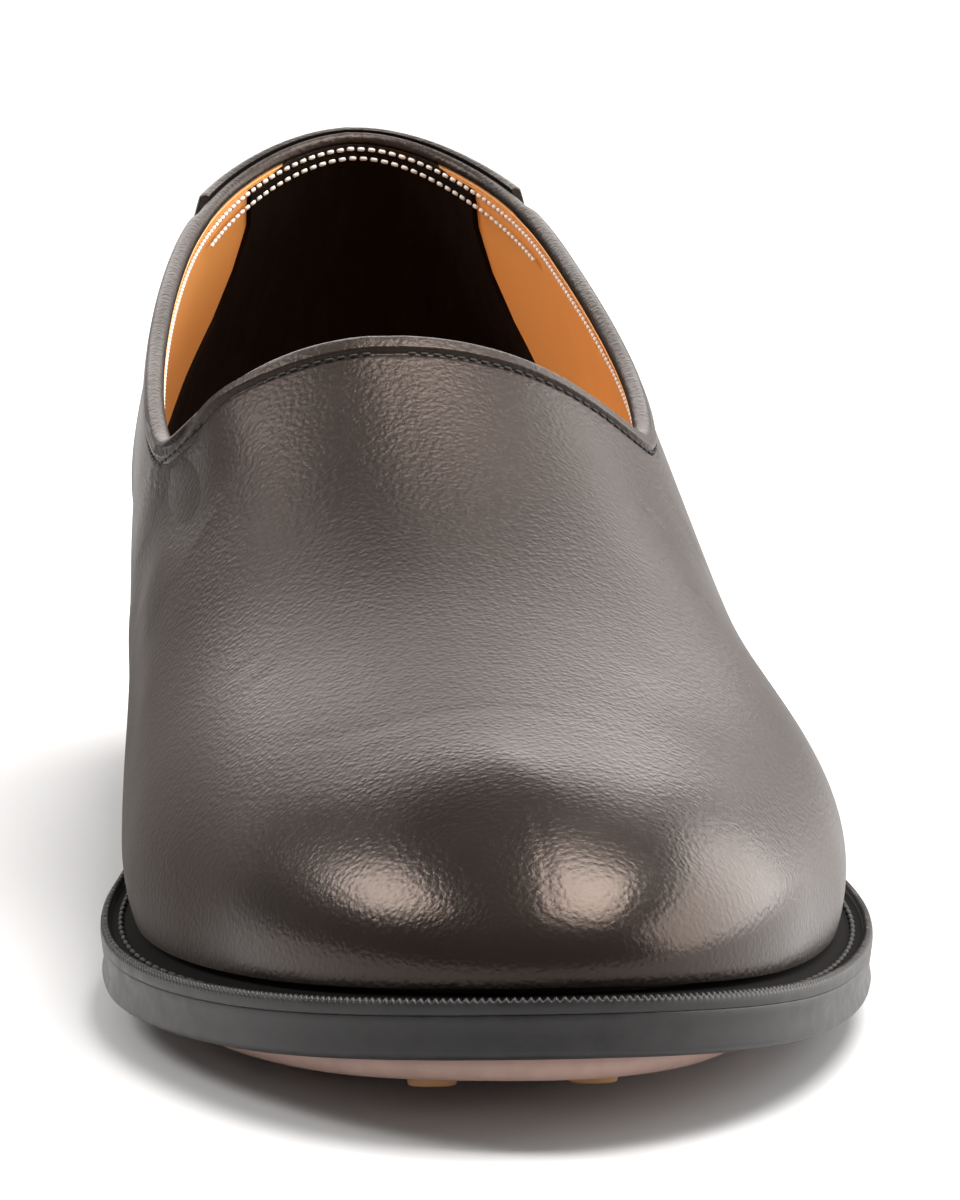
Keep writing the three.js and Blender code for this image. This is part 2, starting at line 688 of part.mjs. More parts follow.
function overlayGeometry() {
  const middle = { row: leatherRow(MEDIAL, 1), bottom: OVERLAY_FOOT };
  const rows = [...overlayRows(MEDIAL), middle, ...overlayRows(LATERAL).reverse()];
  const shares = Array.from({ length: OVERLAY_COLUMNS }, (_, j) => j / OVERLAY_COLUMNS);
  const grid = rows.map(({ row, bottom }) => {
    const lengths = shares.map((share) => mix(bottom, row.length, share));
    return [...lengths, row.length - OVERLAY_EDGE, row.length].map((length) => row.at(length));
  });
  const normals = gridNormals(grid, false);
  const faces = new Faces();
  const last = rows.length - 1;
  const end = OVERLAY_COLUMNS + 1;
  const shifted = (offset) =>
    grid.map((points, i) =>
      faces.add(points.map((point, j) => point.clone().addScaledVector(normals[i][j], offset(j)))),
    );
  const near = shifted(() => OVERLAY_GAP);
  const far = shifted((j) => OVERLAY_GAP + OVERLAY_THICKNESS - (j === end ? OVERLAY_EDGE : 0));
  for (let i = 0; i < last; i++) {
    for (let j = 0; j < end; j++) {
      faces.quad(far[i][j], far[i][j + 1], far[i + 1][j + 1], far[i + 1][j]);
      faces.quad(near[i][j], near[i + 1][j], near[i + 1][j + 1], near[i][j + 1]);
    }
    faces.quad(far[i][0], far[i + 1][0], near[i + 1][0], near[i][0]);
    faces.quad(far[i + 1][end], far[i][end], near[i][end], near[i + 1][end]);
  }
  for (let j = 0; j < end; j++) {
    faces.quad(near[0][j], near[0][j + 1], far[0][j + 1], far[0][j]);
    faces.quad(near[last][j + 1], near[last][j], far[last][j], far[last][j + 1]);
  }
  return faces.geometry();
}

// The outline of the heel: the back of the sole's edge, closed by a hollow breast.
function heelLoop(inset, height) {
  const start = halfAt(MEDIAL, inset, BREAST_BACK + inset / 2);
  const end = halfAt(LATERAL, inset, BREAST_BACK + inset / 2);
  const points = [];
  for (let k = 0; k < HEEL_STEPS; k++) {
    points.push(edgeInset(MEDIAL, mix(start, 1, k / HEEL_STEPS), inset));
  }
  for (let k = HEEL_STEPS; k >= 0; k--) {
    points.push(edgeInset(LATERAL, mix(end, 1, k / HEEL_STEPS), inset));
  }
  const from = points[points.length - 1];
  for (let k = 1; k < BREAST_STEPS; k++) {
    const share = k / BREAST_STEPS;
    const hollow = BREAST_HOLLOW * 4 * share * (1 - share);
    points.push(from.clone().lerp(points[0], share).add(new THREE.Vector2(0, hollow)));
  }
  return points.map((point) => new THREE.Vector3(point.x, point.y, height(point.y)));
}

function heelBlock(loops) {
  const faces = new Faces();
  const rings = loops.map((loop) => faces.add(loop));
  for (let k = 1; k < rings.length; k++) faces.band(rings[k], rings[k - 1]);
  const cap = (loop, ids, upward) => {
    const plan = loop.map((p) => new THREE.Vector2(p.x, p.y));
    for (const corners of THREE.ShapeUtils.triangulateShape(plan, [])) {
      const clockwise = THREE.ShapeUtils.isClockWise(corners.map((k) => plan[k]));
      const face = corners.map((k) => ids[k]);
      faces.triangles.push(...(clockwise === upward ? face.reverse() : face));
    }
  };
  cap(loops[0], rings[0], false);
  cap(loops[loops.length - 1], rings[rings.length - 1], true);
  return faces.geometry();
}

function heelStackGeometry() {
  const low = TOP_PIECE_THICKNESS + CLEARANCE;
  const level = (up) => (back) => mix(low, soleUnder(back) - CLEARANCE, up);
  return heelBlock(HEEL_SIDE.map((row) => heelLoop(row.in * HEEL_TAPER, level(row.up))));
}

function topPieceGeometry() {
  return heelBlock([
    heelLoop(HEEL_TAPER + TOP_PIECE_BEVEL, () => 0),
    heelLoop(HEEL_TAPER, () => TOP_PIECE_BEVEL),
    heelLoop(HEEL_TAPER, () => TOP_PIECE_THICKNESS),
  ]);
}

// How far the pad lies in from the sole's edge: more on the outside of the foot, even at the toe.
const PAD_INSET = { [MEDIAL]: PAD_INSET_MEDIAL, [LATERAL]: PAD_INSET_LATERAL };
const PAD_EVEN_SHARE = 0.16;

function padInset(side, half) {
  const even = (PAD_INSET_MEDIAL + PAD_INSET_LATERAL) / 2;
  return mix(even, PAD_INSET[side], smooth(0, PAD_EVEN_SHARE, half));
}

function padPlate(under) {
  const loops = PAD_SIDE.map((row) => {
    const rim = row.in * PAD_RIM;
    const end = halfAt(MEDIAL, PAD_INSET_MEDIAL + rim, PAD_END - rim);
    const inset = (back, side, half) => padInset(side, half) + rim;
    return edgeLoop(inset, under + row.up * PAD_THICKNESS, end);
  });
  return plate(loops);
}

// Where the studs stand: rows across the pad that keep clear of its rim.
function studPlaces() {
  const margin = PAD_RIM + STUD_DIAMETER / 2 + STUD_MARGIN;
  const limit = (side, back) => {
    const inset = margin + PAD_INSET[side];
    return edgeInset(side, halfAt(side, inset, back), inset).x;
  };
  const places = [];
  for (let back = FIRST_STUD_ROW; back < PAD_END - STUD_DIAMETER; back += STUD_SPACING) {
    const inner = limit(MEDIAL, back);
    const outer = limit(LATERAL, back);
    const count = Math.floor((outer - inner) / STUD_SPACING) + 1;
    const first = (inner + outer - (count - 1) * STUD_SPACING) / 2;
    for (let k = 0; k < count; k++) places.push(new THREE.Vector2(first + k * STUD_SPACING, back));
  }
  return places;
}

function padGeometry({ Manifold, Mesh }) {
  const solidOf = (geometry) => {
    const bare = geometry.clone();
    bare.deleteAttribute("normal");
    bare.deleteAttribute("uv");
    const merged = mergeVertices(bare);
    const vertProperties = merged.attributes.position.array;
    const triVerts = new Uint32Array(merged.index.array);
    return new Manifold(new Mesh({ numProp: 3, vertProperties, triVerts }));
  };
  const under = -CLEARANCE - PAD_THICKNESS;
  let pad = solidOf(padPlate(under));
  for (const place of studPlaces()) {
    const radius = STUD_DIAMETER / 2;
    const stud = new THREE.CylinderGeometry(radius, radius, STUD_HEIGHT * 2, STUD_SIDES);
    const tilt = Math.atan2(soleUnder(place.y + radius) - soleUnder(place.y - radius), STUD_DIAMETER);
    stud.rotateX(Math.PI / 2 + tilt);
    stud.translate(place.x, place.y, soleUnder(place.y) + under);
    pad = pad.add(solidOf(stud));
  }
  const mesh = pad.getMesh();
  const geometry = new THREE.BufferGeometry();
  const positions = new THREE.Float32BufferAttribute(mesh.vertProperties, mesh.numProp);
  geometry.setAttribute("position", positions);
  geometry.setIndex(new THREE.BufferAttribute(mesh.triVerts, 1));
  geometry.computeVertexNormals();
  return geometry;
}

const wasm = await Module();
wasm.setup();

const LEATHER = { color: 0x2b2726, roughness: 0.5, metalness: 0 };
const EDGE = { color: 0x1d1c1c, roughness: 0.42, metalness: 0 };
const HEEL_RUBBER = { color: 0x1a1a1a, roughness: 0.7, metalness: 0 };
const PAD_RUBBER = { color: 0xb59a93, roughness: 0.65, metalness: 0 };
const SOCK = { color: 0x2a1f1a, roughness: 0.85, metalness: 0 };
const PIECES = [
  { name: "upper", geometry: upperGeometry(), finish: LEATHER },
  { name: "heel_overlay", geometry: overlayGeometry(), finish: LEATHER },
  { name: "insole", geometry: insoleGeometry(), finish: SOCK },
  { name: "welt", geometry: weltGeometry(), finish: EDGE },
  { name: "outsole", geometry: outsoleGeometry(), finish: EDGE },
  { name: "heel_stack", geometry: heelStackGeometry(), finish: EDGE },
  { name: "heel_top_piece", geometry: topPieceGeometry(), finish: HEEL_RUBBER },
  { name: "forefoot_pad", geometry: padGeometry(wasm), finish: PAD_RUBBER },
];

const shoe = new THREE.Group();
for (const { name, geometry, finish } of PIECES) {
  const mesh = new THREE.Mesh(geometry, new THREE.MeshStandardMaterial(finish));
  mesh.name = name;
  shoe.add(mesh);
}
const box = new THREE.Box3().setFromObject(shoe);
const centre = box.getCenter(new THREE.Vector3());
shoe.children.forEach((mesh) => mesh.geometry.translate(-centre.x, -centre.y, -box.min.z));

export default shoe;
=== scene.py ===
"""Looks of a left slip-on shoe: pebbled leather upper with a turned edge, lined quarters, a suede
heel grip, a wheeled welt, an inked sole edge, a stacked heel and a studded rubber forefoot pad.

Shapes are worked out in millimetres, with plan points (x, back), where back is the distance
behind the toe tip and +x is the outside of the foot. Meshes are made in metres in the row frame.
"""

import math

import bmesh
import bpy
import numpy as np
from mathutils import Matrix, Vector


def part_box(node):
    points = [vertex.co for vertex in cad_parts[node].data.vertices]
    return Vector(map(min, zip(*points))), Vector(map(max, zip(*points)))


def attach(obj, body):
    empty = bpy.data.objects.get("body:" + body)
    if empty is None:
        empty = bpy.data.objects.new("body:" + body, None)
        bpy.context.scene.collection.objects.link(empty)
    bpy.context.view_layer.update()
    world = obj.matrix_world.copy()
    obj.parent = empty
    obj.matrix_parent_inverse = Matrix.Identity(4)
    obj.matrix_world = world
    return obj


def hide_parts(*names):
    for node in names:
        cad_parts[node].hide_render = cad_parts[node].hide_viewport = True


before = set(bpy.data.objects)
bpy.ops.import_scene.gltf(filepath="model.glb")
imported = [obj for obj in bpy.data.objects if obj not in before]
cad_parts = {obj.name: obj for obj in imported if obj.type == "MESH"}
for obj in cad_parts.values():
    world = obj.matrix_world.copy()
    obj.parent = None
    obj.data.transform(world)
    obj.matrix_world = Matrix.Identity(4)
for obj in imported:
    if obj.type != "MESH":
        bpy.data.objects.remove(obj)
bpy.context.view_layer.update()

MM = 0.001
MEDIAL = -1
LATERAL = 1

# Driving sizes of the sole, in millimetres.
SOLE_LENGTH = 300.0
BALL_WIDTH = 107.0
WAIST_WIDTH = 74.0
HEEL_WIDTH = 68.0
OUTSOLE_THICKNESS = 5.6
WELT_THICKNESS = 3.0
WELT_LEDGE_FRONT = 4.6
WELT_LEDGE_BACK = 2.2
WELT_TUCK = 6.0
TOE_SPRING = 8.5
HEEL_LIFT = 22.0
HEEL_PITCH = 0.03
BREAST_BACK = 232.0
BREAST_HOLLOW = 3.0
HEEL_TAPER = 2.4
TOP_PIECE_THICKNESS = 6.0
TOP_PIECE_BEVEL = 0.8
PAD_THICKNESS = 3.0
PAD_INSET = {MEDIAL: 9.5, LATERAL: 14.0}
PAD_END = 150.0
PAD_RIM = 2.2
STUD_HEIGHT = 1.0
STUD_DIAMETER = 6.5
STUD_SPACING = 21.0
STUD_MARGIN = 1.5
FIRST_STUD_ROW = 30.0
UNWORN_STUD = 1.6
PAD_FRONT = 15.0
CLEARANCE = 0.3

# Driving sizes of the upper: heights are above the floor, on the outside of the leather.
UPPER_WALL = 2.2
VAMP_LENGTH = 145.0
HEIGHTS = {"toe": 45.0, "instep": 84.0, "quarter": 67.0, "back": 93.5, "ankle": 132.0}
TOE_SEAT = 36.0
HEEL_SEAT = 32.0
BELLY_HEIGHT = 20.0
FOLD_WIDTH = 3.2
FOLD_STEP = 0.6
OVERLAY_THICKNESS = 1.2
OVERLAY_REACH = {MEDIAL: 34.0, LATERAL: 33.0}
OVERLAY_FRONT = 13.0
BACK_STRIP_HALF_WIDTH = 9.0
OVERLAY_FOOT = 0.8
OVERLAY_GAP = 0.45
INSOLE_THICKNESS = 3.0
INSOLE_GAP = 1.4
INSOLE_BEVEL = 1.6

WIDTHS = {"ball": BALL_WIDTH, "waist": WAIST_WIDTH, "heel": HEEL_WIDTH}

# The sole's edge from above: share of the length, share of the width out from the axis, width.
TOE_TIP = (0.0, 0.028, "ball")
HEEL_TIP = (1.0, 0.0, "heel")
EDGE = {
    MEDIAL: [
        (0.045, 0.22, "ball"),
        (0.14, 0.382, "ball"),
        (0.26, 0.47, "ball"),
        (0.395, 0.445, "ball"),
        (0.52, 0.525, "waist"),
        (0.65, 0.455, "waist"),
        (0.8, 0.485, "heel"),
        (0.93, 0.445, "heel"),
    ],
    LATERAL: [
        (0.045, 0.262, "ball"),
        (0.145, 0.412, "ball"),
        (0.275, 0.497, "ball"),
        (0.395, 0.498, "ball"),
        (0.52, 0.66, "waist"),
        (0.65, 0.56, "waist"),
        (0.8, 0.51, "heel"),
        (0.93, 0.45, "heel"),
    ],
}
# The last: share of the length, then a share of the ball's width, a share of the named height, a
# share of the instep's height, the roundness, and a share of the belly's height.
SPINE = [(0, 0.028), (0.14, 0.01), (0.32, 0.015), (0.52, 0.02), (0.66, 0.03), (0.85, 0.008), (1, 0)]
RIDGE = [
    (0.13, 1.0, "toe"),
    (0.23, 0.61, "instep"),
    (0.33, 0.705, "instep"),
    (0.42, 0.855, "instep"),
    (VAMP_LENGTH / SOLE_LENGTH, 1.0, "instep"),
    (0.56, 0.76, "ankle"),
    (0.66, 0.89, "ankle"),
    (0.8, 0.97, "ankle"),
    (1.0, 1.0, "ankle"),
]
LEAN = [(0.06, 0), (0.2, 0.03), (0.34, 0.06), (0.5, 0.124), (0.62, 0.132), (0.8, 0.06), (1, 0)]
FULLNESS = {
    MEDIAL: [
        (0.05, 2.3), (0.2, 2.2), (0.35, 1.95), (0.5, 2.25), (0.6, 2.7),
        (0.7, 2.7), (0.8, 2.0), (0.9, 1.15), (1, 1.7),
    ],
    LATERAL: [
        (0.05, 2.3), (0.2, 2.5), (0.35, 2.35), (0.5, 1.92), (0.6, 2.2),
        (0.7, 2.55), (0.8, 2.05), (0.9, 1.15), (1, 1.7),
    ],
}
BELLY = {
    MEDIAL: [(0, 0.06), (0.2, 0.07), (0.34, 0.11), (0.52, 0.25), (0.66, 0.31), (0.84, 0.29), (1, 0.18)],
    LATERAL: [(0, 0.06), (0.2, 0.1), (0.34, 0.15), (0.52, 0.11), (0.66, 0.15), (0.84, 0.19), (1, 0.18)],
}
# The opening's edge from the side: share of the way back from the throat, the two heights that
# the row lies between, and the share of the way up.
TOPLINE = [
    (0, "quarter", "instep", 1),
    (0.03, "quarter", "instep", 0.64),
    (0.065, "quarter", "instep", 0.26),
    (0.115, "quarter", "instep", 0.015),
    (0.2, "quarter", "back", 0.06),
    (0.36, "quarter", "back", 0.24),
    (0.54, "quarter", "back", 0.47),
    (0.72, "quarter", "back", 0.66),
    (0.87, "quarter", "back", 0.79),
    (0.96, "quarter", "back", 0.92),
    (1, "quarter", "back", 1),
]
RAY_POWER = {MEDIAL: 1.9, LATERAL: 2.15}
SEAT_SOFTNESS = 24.0
SIDE_BLEND = 16.0
SPRING_START = 0.29 * SOLE_LENGTH
ARCH_START = 0.395 * SOLE_LENGTH
ARCH_END = 0.765 * SOLE_LENGTH
LEDGE_FROM = 0.36
LEDGE_TO = 0.62
OPENING_LENGTH = SOLE_LENGTH - WELT_LEDGE_BACK - VAMP_LENGTH
GATHER_END = VAMP_LENGTH + 0.24 * OPENING_LENGTH
GATHER_EVEN = 0.42
TREAD_LEVEL = STUD_HEIGHT + PAD_THICKNESS + CLEARANCE
WELT_LEVEL = OUTSOLE_THICKNESS + CLEARANCE
FEATHER_LEVEL = WELT_LEVEL + WELT_THICKNESS + CLEARANCE


def mix(a, b, share):
    return a + (b - a) * share


def smooth(low, high, x):
    share = np.clip((np.asarray(x, float) - low) / (high - low), 0, 1)
    return share * share * (3 - 2 * share)


def bell(x, width):
    return np.exp(-((x / width) ** 2))


def by_side(side, values):
    return np.where(np.asarray(side) < 0, values[MEDIAL], values[LATERAL])


def table_curve(rows):
    """A curve with steady bend through rows of (along, value), straight beyond both ends."""
    at = np.array([row[0] for row in rows], float) * SOLE_LENGTH
    values = np.array([row[1] for row in rows], float)
    count = len(at)
    spans = np.diff(at)
    rises = np.diff(values) / spans
    system = np.eye(count)
    turns = np.zeros(count)
    for i in range(1, count - 1):
        system[i, i - 1 : i + 2] = spans[i - 1], 2 * (spans[i - 1] + spans[i]), spans[i]
        turns[i] = 6 * (rises[i] - rises[i - 1])
    bends = np.linalg.solve(system, turns)
    first_slope = rises[0] - spans[0] * bends[1] / 6
    last_slope = rises[-1] + spans[-1] * bends[-2] / 6

    def curve(x):
        i = np.clip(np.searchsorted(at, x) - 1, 0, count - 2)
        a = (at[i + 1] - x) / spans[i]
        b = 1 - a
        swell = (a**3 - a) * bends[i] + (b**3 - b) * bends[i + 1]
        inside = a * values[i] + b * values[i + 1] + swell * spans[i] ** 2 / 6
        before = values[0] + (x - at[0]) * first_slope
        after = values[-1] + (x - at[-1]) * last_slope
        return np.where(x < at[0], before, np.where(x > at[-1], after, inside))

    return curve


class Spline:
    """A cubic B-spline through points in the plane. t counts points from the first."""

    def __init__(self, points, closed):
        points = np.asarray(points, float)
        count = len(points)
        system = 6 * np.eye(count)
        for i in range(count):
            if closed or 0 < i < count - 1:
                system[i, i] = 4
                system[i, (i - 1) % count] += 1
                system[i, (i + 1) % count] += 1
        controls = np.linalg.solve(system, 6 * points)
        if closed:
            self.controls = np.vstack([controls[-1:], controls, controls[:2]])
        else:
            before = 2 * controls[:1] - controls[1:2]
            after = 2 * controls[-1:] - controls[-2:-1]
            self.controls = np.vstack([before, controls, after])
        self.spans = count if closed else count - 1

    def blend(self, t, weights):
        start = np.clip(np.floor(t).astype(int), 0, self.spans - 1)
        total = 0
        for k, weight in enumerate(weights(t - start)):
            total = total + weight[..., None] * self.controls[start + k]
        return total

    def at(self, t):
        return self.blend(t, lambda f: (
            (1 - f) ** 3 / 6,
            (3 * f**3 - 6 * f**2 + 4) / 6,
            (-3 * f**3 + 3 * f**2 + 3 * f + 1) / 6,
            f**3 / 6,
        ))

    def slope(self, t):
        return self.blend(t, lambda f: (
            -((1 - f) ** 2) / 2,
            (3 * f**2 - 4 * f) / 2,
            (-3 * f**2 + 2 * f + 1) / 2,
            f**2 / 2,
        ))


def solve(target, rising):
    """The values between 0 and 1 where a rising function reaches its targets."""
    low = np.zeros(np.shape(target))
    high = np.ones(np.shape(target))
    for _ in range(30):
        middle = (low + high) / 2
        below = rising(middle) < target
        low = np.where(below, middle, low)
        high = np.where(below, high, middle)
    return (low + high) / 2


# The sole's plan and heights. half runs from 0 at the toe to 1 at the heel on either side.
def edge_point(row, side):
    along, across, follows = row
    return side * across * WIDTHS[follows], along * SOLE_LENGTH


OUTLINE_POINTS = (
    [edge_point(TOE_TIP, LATERAL)]
    + [edge_point(row, MEDIAL) for row in EDGE[MEDIAL]]
    + [edge_point(HEEL_TIP, LATERAL)]
    + [edge_point(row, LATERAL) for row in reversed(EDGE[LATERAL])]
)
OUTLINE = Spline(OUTLINE_POINTS, True)


def edge_inset(side, half, inset):
    turn = np.where(np.asarray(side) < 0, half / 2, 1 - half / 2)
    t = turn * len(OUTLINE_POINTS)
    slope = OUTLINE.slope(t)
    slope = slope / np.linalg.norm(slope, axis=-1, keepdims=True)
    inward = np.stack([slope[..., 1], -slope[..., 0]], -1)
    return OUTLINE.at(t) + inward * np.asarray(inset)[..., None]


def half_at(side, inset, back):
    return solve(np.asarray(back, float), lambda half: edge_inset(side, half, inset)[..., 1])


def sole_under(back):
    spring = TREAD_LEVEL + TOE_SPRING * (1 - back / SPRING_START) ** 2
    run = ARCH_END - ARCH_START
    x = (back - ARCH_START) / run
    rise = HEEL_LIFT - TREAD_LEVEL
    arch = TREAD_LEVEL + rise * (3 * x**2 - 2 * x**3) + HEEL_PITCH * run * (x**3 - x**2)
    seat = HEEL_LIFT + HEEL_PITCH * (back - ARCH_END)
    front = np.where(back < SPRING_START, spring, TREAD_LEVEL)
    return np.where(back < ARCH_START, front, np.where(back > ARCH_END, seat, arch))


def ledge(back):
    return mix(WELT_LEDGE_FRONT, WELT_LEDGE_BACK, smooth(LEDGE_FROM, LEDGE_TO, back / SOLE_LENGTH))


def feather(side, half):
    back = edge_inset(side, half, 0)[..., 1]
    plan = edge_inset(side, half, ledge(back))
    height = sole_under(plan[..., 1]) + FEATHER_LEVEL
    return np.concatenate([plan, height[..., None]], -1)


# The last: rays run from the spine to the feather edge, and rho is 0 at the spine.
spine_across = table_curve([(along, across * BALL_WIDTH) for along, across in SPINE])
ridge = table_curve([(along, up * HEIGHTS[follows]) for along, up, follows in RIDGE])
lean = table_curve([(along, medial * HEIGHTS["instep"]) for along, medial in LEAN])
fullness = {side: table_curve(rows) for side, rows in FULLNESS.items()}
belly_out = {
    side: table_curve([(along, out * BELLY_HEIGHT) for along, out in rows])
    for side, rows in BELLY.items()
}


def ray(side, half):
    foot = feather(side, half)
    rear = SOLE_LENGTH - HEEL_SEAT
    behind_toe = (foot[..., 1] + TOE_SEAT + np.hypot(foot[..., 1] - TOE_SEAT, SEAT_SOFTNESS)) / 2
    back = (behind_toe + rear - np.hypot(behind_toe - rear, SEAT_SOFTNESS)) / 2
    return foot, np.stack([spine_across(back), back], -1)


def last_point(side, foot, root, rho):
    plan = root + (foot[..., :2] - root) * rho[..., None]
    back = plan[..., 1]
    lateral = smooth(-SIDE_BLEND, SIDE_BLEND, np.asarray(side) * np.abs(foot[..., 0] - root[..., 0]))
    full = mix(fullness[MEDIAL](back), fullness[LATERAL](back), lateral)
    share = np.maximum(0, 1 - rho ** mix(RAY_POWER[MEDIAL], RAY_POWER[LATERAL], lateral)) ** (1 / full)
    height = (ridge(back) - foot[..., 2]) * share
    depth = height / BELLY_HEIGHT
    bulge = mix(belly_out[MEDIAL](back), belly_out[LATERAL](back), lateral)
    bulge = bulge * depth * np.exp(1 - depth) * rho**3
    out = foot[..., :2] - root
    out = out / np.linalg.norm(out, axis=-1, keepdims=True) * bulge[..., None]
    x = plan[..., 0] + out[..., 0] - lean(back) * share
    return np.stack([x, back + out[..., 1], foot[..., 2] + height], -1)


def middle_at(back):
    toe_foot, toe_root = ray(MEDIAL, np.array(0.0))
    heel_foot, heel_root = ray(MEDIAL, np.array(1.0))

    def along(foot, root):
        return mix(root[0], foot[0], (back - root[1]) / (foot[1] - root[1]))

    ahead = back < toe_root[1]
    behind = back > heel_root[1]
    ends = np.where(ahead, along(toe_foot, toe_root), along(heel_foot, heel_root))
    return np.where(ahead | behind, ends, spine_across(back))


def surface_at(plan):
    """The point of the last over each plan point."""
    side = np.where(plan[..., 0] < middle_at(plan[..., 1]), MEDIAL, LATERAL)

    def behind(half):
        foot, root = ray(side, half)
        turn = (foot[..., 0] - root[..., 0]) * (plan[..., 1] - root[..., 1])
        turn = turn - (foot[..., 1] - root[..., 1]) * (plan[..., 0] - root[..., 0])
        return -side * turn

    foot, root = ray(side, solve(np.zeros(side.shape), behind))
    reach = foot[..., :2] - root
    rho = ((plan - root) * reach).sum(-1) / (reach**2).sum(-1)
    return last_point(side, foot, root, np.clip(rho, 0, 1))


def side_point(side, back, height):
    """The last's point at a distance behind the toe and a height, with its plan point."""
    half = solve(back, lambda h: feather(side, h)[..., 1])
    foot, root = ray(side, half)
    rho = solve(-height, lambda r: -last_point(side, foot, root, r)[..., 2])
    plan = root + (foot[..., :2] - root) * rho[..., None]
    return half, plan, last_point(side, foot, root, rho)


class Topline:
    """One side of the opening's edge, from the throat's middle to the back."""

    SAMPLES = 500

    def __init__(self, side):
        rows = []
        for along, low, high, up in TOPLINE:
            rows.append((VAMP_LENGTH + along * OPENING_LENGTH, mix(HEIGHTS[low], HEIGHTS[high], up)))
        share = np.linspace(0, 1, self.SAMPLES)
        profile = Spline(rows, False).at((len(TOPLINE) - 1) * share * (1 + share) / 2)
        self.half, self.plan, points = side_point(side, profile[:, 0], profile[:, 1])
        steps = np.linalg.norm(np.diff(points, axis=0), axis=1)
        self.walked = np.concatenate([[0], np.cumsum(steps)])
        self.length = self.walked[-1]
        self.gather_half = float(half_at(side, WELT_LEDGE_BACK, GATHER_END))
        self.gather_reach = np.interp(self.gather_half, self.half, self.walked)
        step = 0.01
        ahead = np.interp(self.gather_half + step, self.half, self.walked)
        steady = (ahead - self.gather_reach) / step * self.gather_half / self.gather_reach
        self.power = (steady - GATHER_EVEN) / (1 - GATHER_EVEN)

    def reach(self, half):
        """How far along the edge the leather above a feather point ends."""
        share = half / self.gather_half
        gathered = self.gather_reach * mix(share**self.power, share, GATHER_EVEN)
        return np.where(half >= self.gather_half, np.interp(half, self.half, self.walked), gathered)


TOPLINES = {side: Topline(side) for side in (MEDIAL, LATERAL)}


def grid_normals(grid, wrapped=True):
    """Outward directions on a grid of rows round the shoe, each from below upwards."""
    if wrapped:
        along = np.roll(grid, -1, 0) - np.roll(grid, 1, 0)
    else:
        along = np.gradient(grid, axis=0)
    normal = np.cross(np.gradient(grid, axis=1), along)
    return normal / np.maximum(np.linalg.norm(normal, axis=-1, keepdims=True), 1e-9)


class Leather:
    """The outside of the leather. Rows go round from the toe, back on the inside of the foot."""

    HALF_ROWS = 260
    PATH = (np.arange(61) / 60) ** 2.4
    COLUMNS = 150

    def __init__(self):
        count = self.HALF_ROWS
        self.side = np.array([MEDIAL] * (count + 1) + [LATERAL] * (count - 1))
        self.half = np.concatenate([np.arange(count + 1), np.arange(count - 1, 0, -1)]) / count
        reaches = {side: line.reach(self.half) for side, line in TOPLINES.items()}
        walked = by_side(self.side, reaches)
        whole = by_side(self.side, {side: line.length for side, line in TOPLINES.items()})
        self.around = self.side * (whole - np.minimum(walked, whole))
        tops = np.zeros((len(self.half), 2))
        for side, line in TOPLINES.items():
            own = self.side == side
            for axis in (0, 1):
                tops[own, axis] = np.interp(walked[own], line.walked, line.plan[:, axis])
        self.start = feather(self.side, self.half)[:, :2]
        self.top = tops
        path = self.points(np.tile(self.PATH, (len(tops), 1)))
        steps = np.linalg.norm(np.diff(path, axis=1), axis=-1)
        self.lengths = np.concatenate([np.zeros((len(tops), 1)), np.cumsum(steps, axis=1)], axis=1)
        self.length = self.lengths[:, -1]
        even = np.linspace(0, 1, self.COLUMNS)
        self.even = self.at(self.length[:, None] * even)
        self.even_normals = grid_normals(self.even)

    def points(self, shares):
        return surface_at(self.start[:, None] + (self.top - self.start)[:, None] * shares[..., None])

    def at(self, distances):
        """Points of each row at distances up from the feather."""
        shares = np.empty(distances.shape)
        for i, row in enumerate(distances):
            shares[i] = np.interp(row, self.lengths[i], self.PATH)
        return self.points(shares)

    def row_length(self, around):
        return np.interp(around, self.around, self.length)

    def place(self, around, depth, offset=0.0):
        """Points at a distance around from the back, a depth below the edge, and out from it."""
        around, depth, offset = np.broadcast_arrays(around, depth, offset)
        count = len(self.around)
        row = np.interp(around, self.around, np.arange(count))
        low = np.clip(np.floor(row).astype(int), 0, count - 1)
        part = (row - low)[..., None]
        found = []
        for i in (low, (low + 1) % count):
            column = np.clip((1 - depth / self.length[i]) * (self.COLUMNS - 1), 0, self.COLUMNS - 1)
            j = np.minimum(np.floor(column).astype(int), self.COLUMNS - 2)
            f = (column - j)[..., None]
            point = self.even[i, j] * (1 - f) + self.even[i, j + 1] * f
            normal = self.even_normals[i, j] * (1 - f) + self.even_normals[i, j + 1] * f
            found.append((point, normal))
        point = mix(found[0][0], found[1][0], part)
        normal = mix(found[0][1], found[1][1], part)
        normal = normal / np.linalg.norm(normal, axis=-1, keepdims=True)
        return point + normal * offset[..., None]


LEATHER = Leather()

# The design's plan is shifted onto the row frame by the welt, whose tip is the toe tip.
welt_low, welt_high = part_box("welt")
widest = edge_inset(LATERAL, np.linspace(0, 1, 800), 0.0)[:, 0].max()
SHIFT = np.array([welt_high.x / MM - widest, welt_low.y / MM, 0.0])


def to_metres(points):
    return (np.asarray(points, float).reshape(-1, 3) + SHIFT) * MM


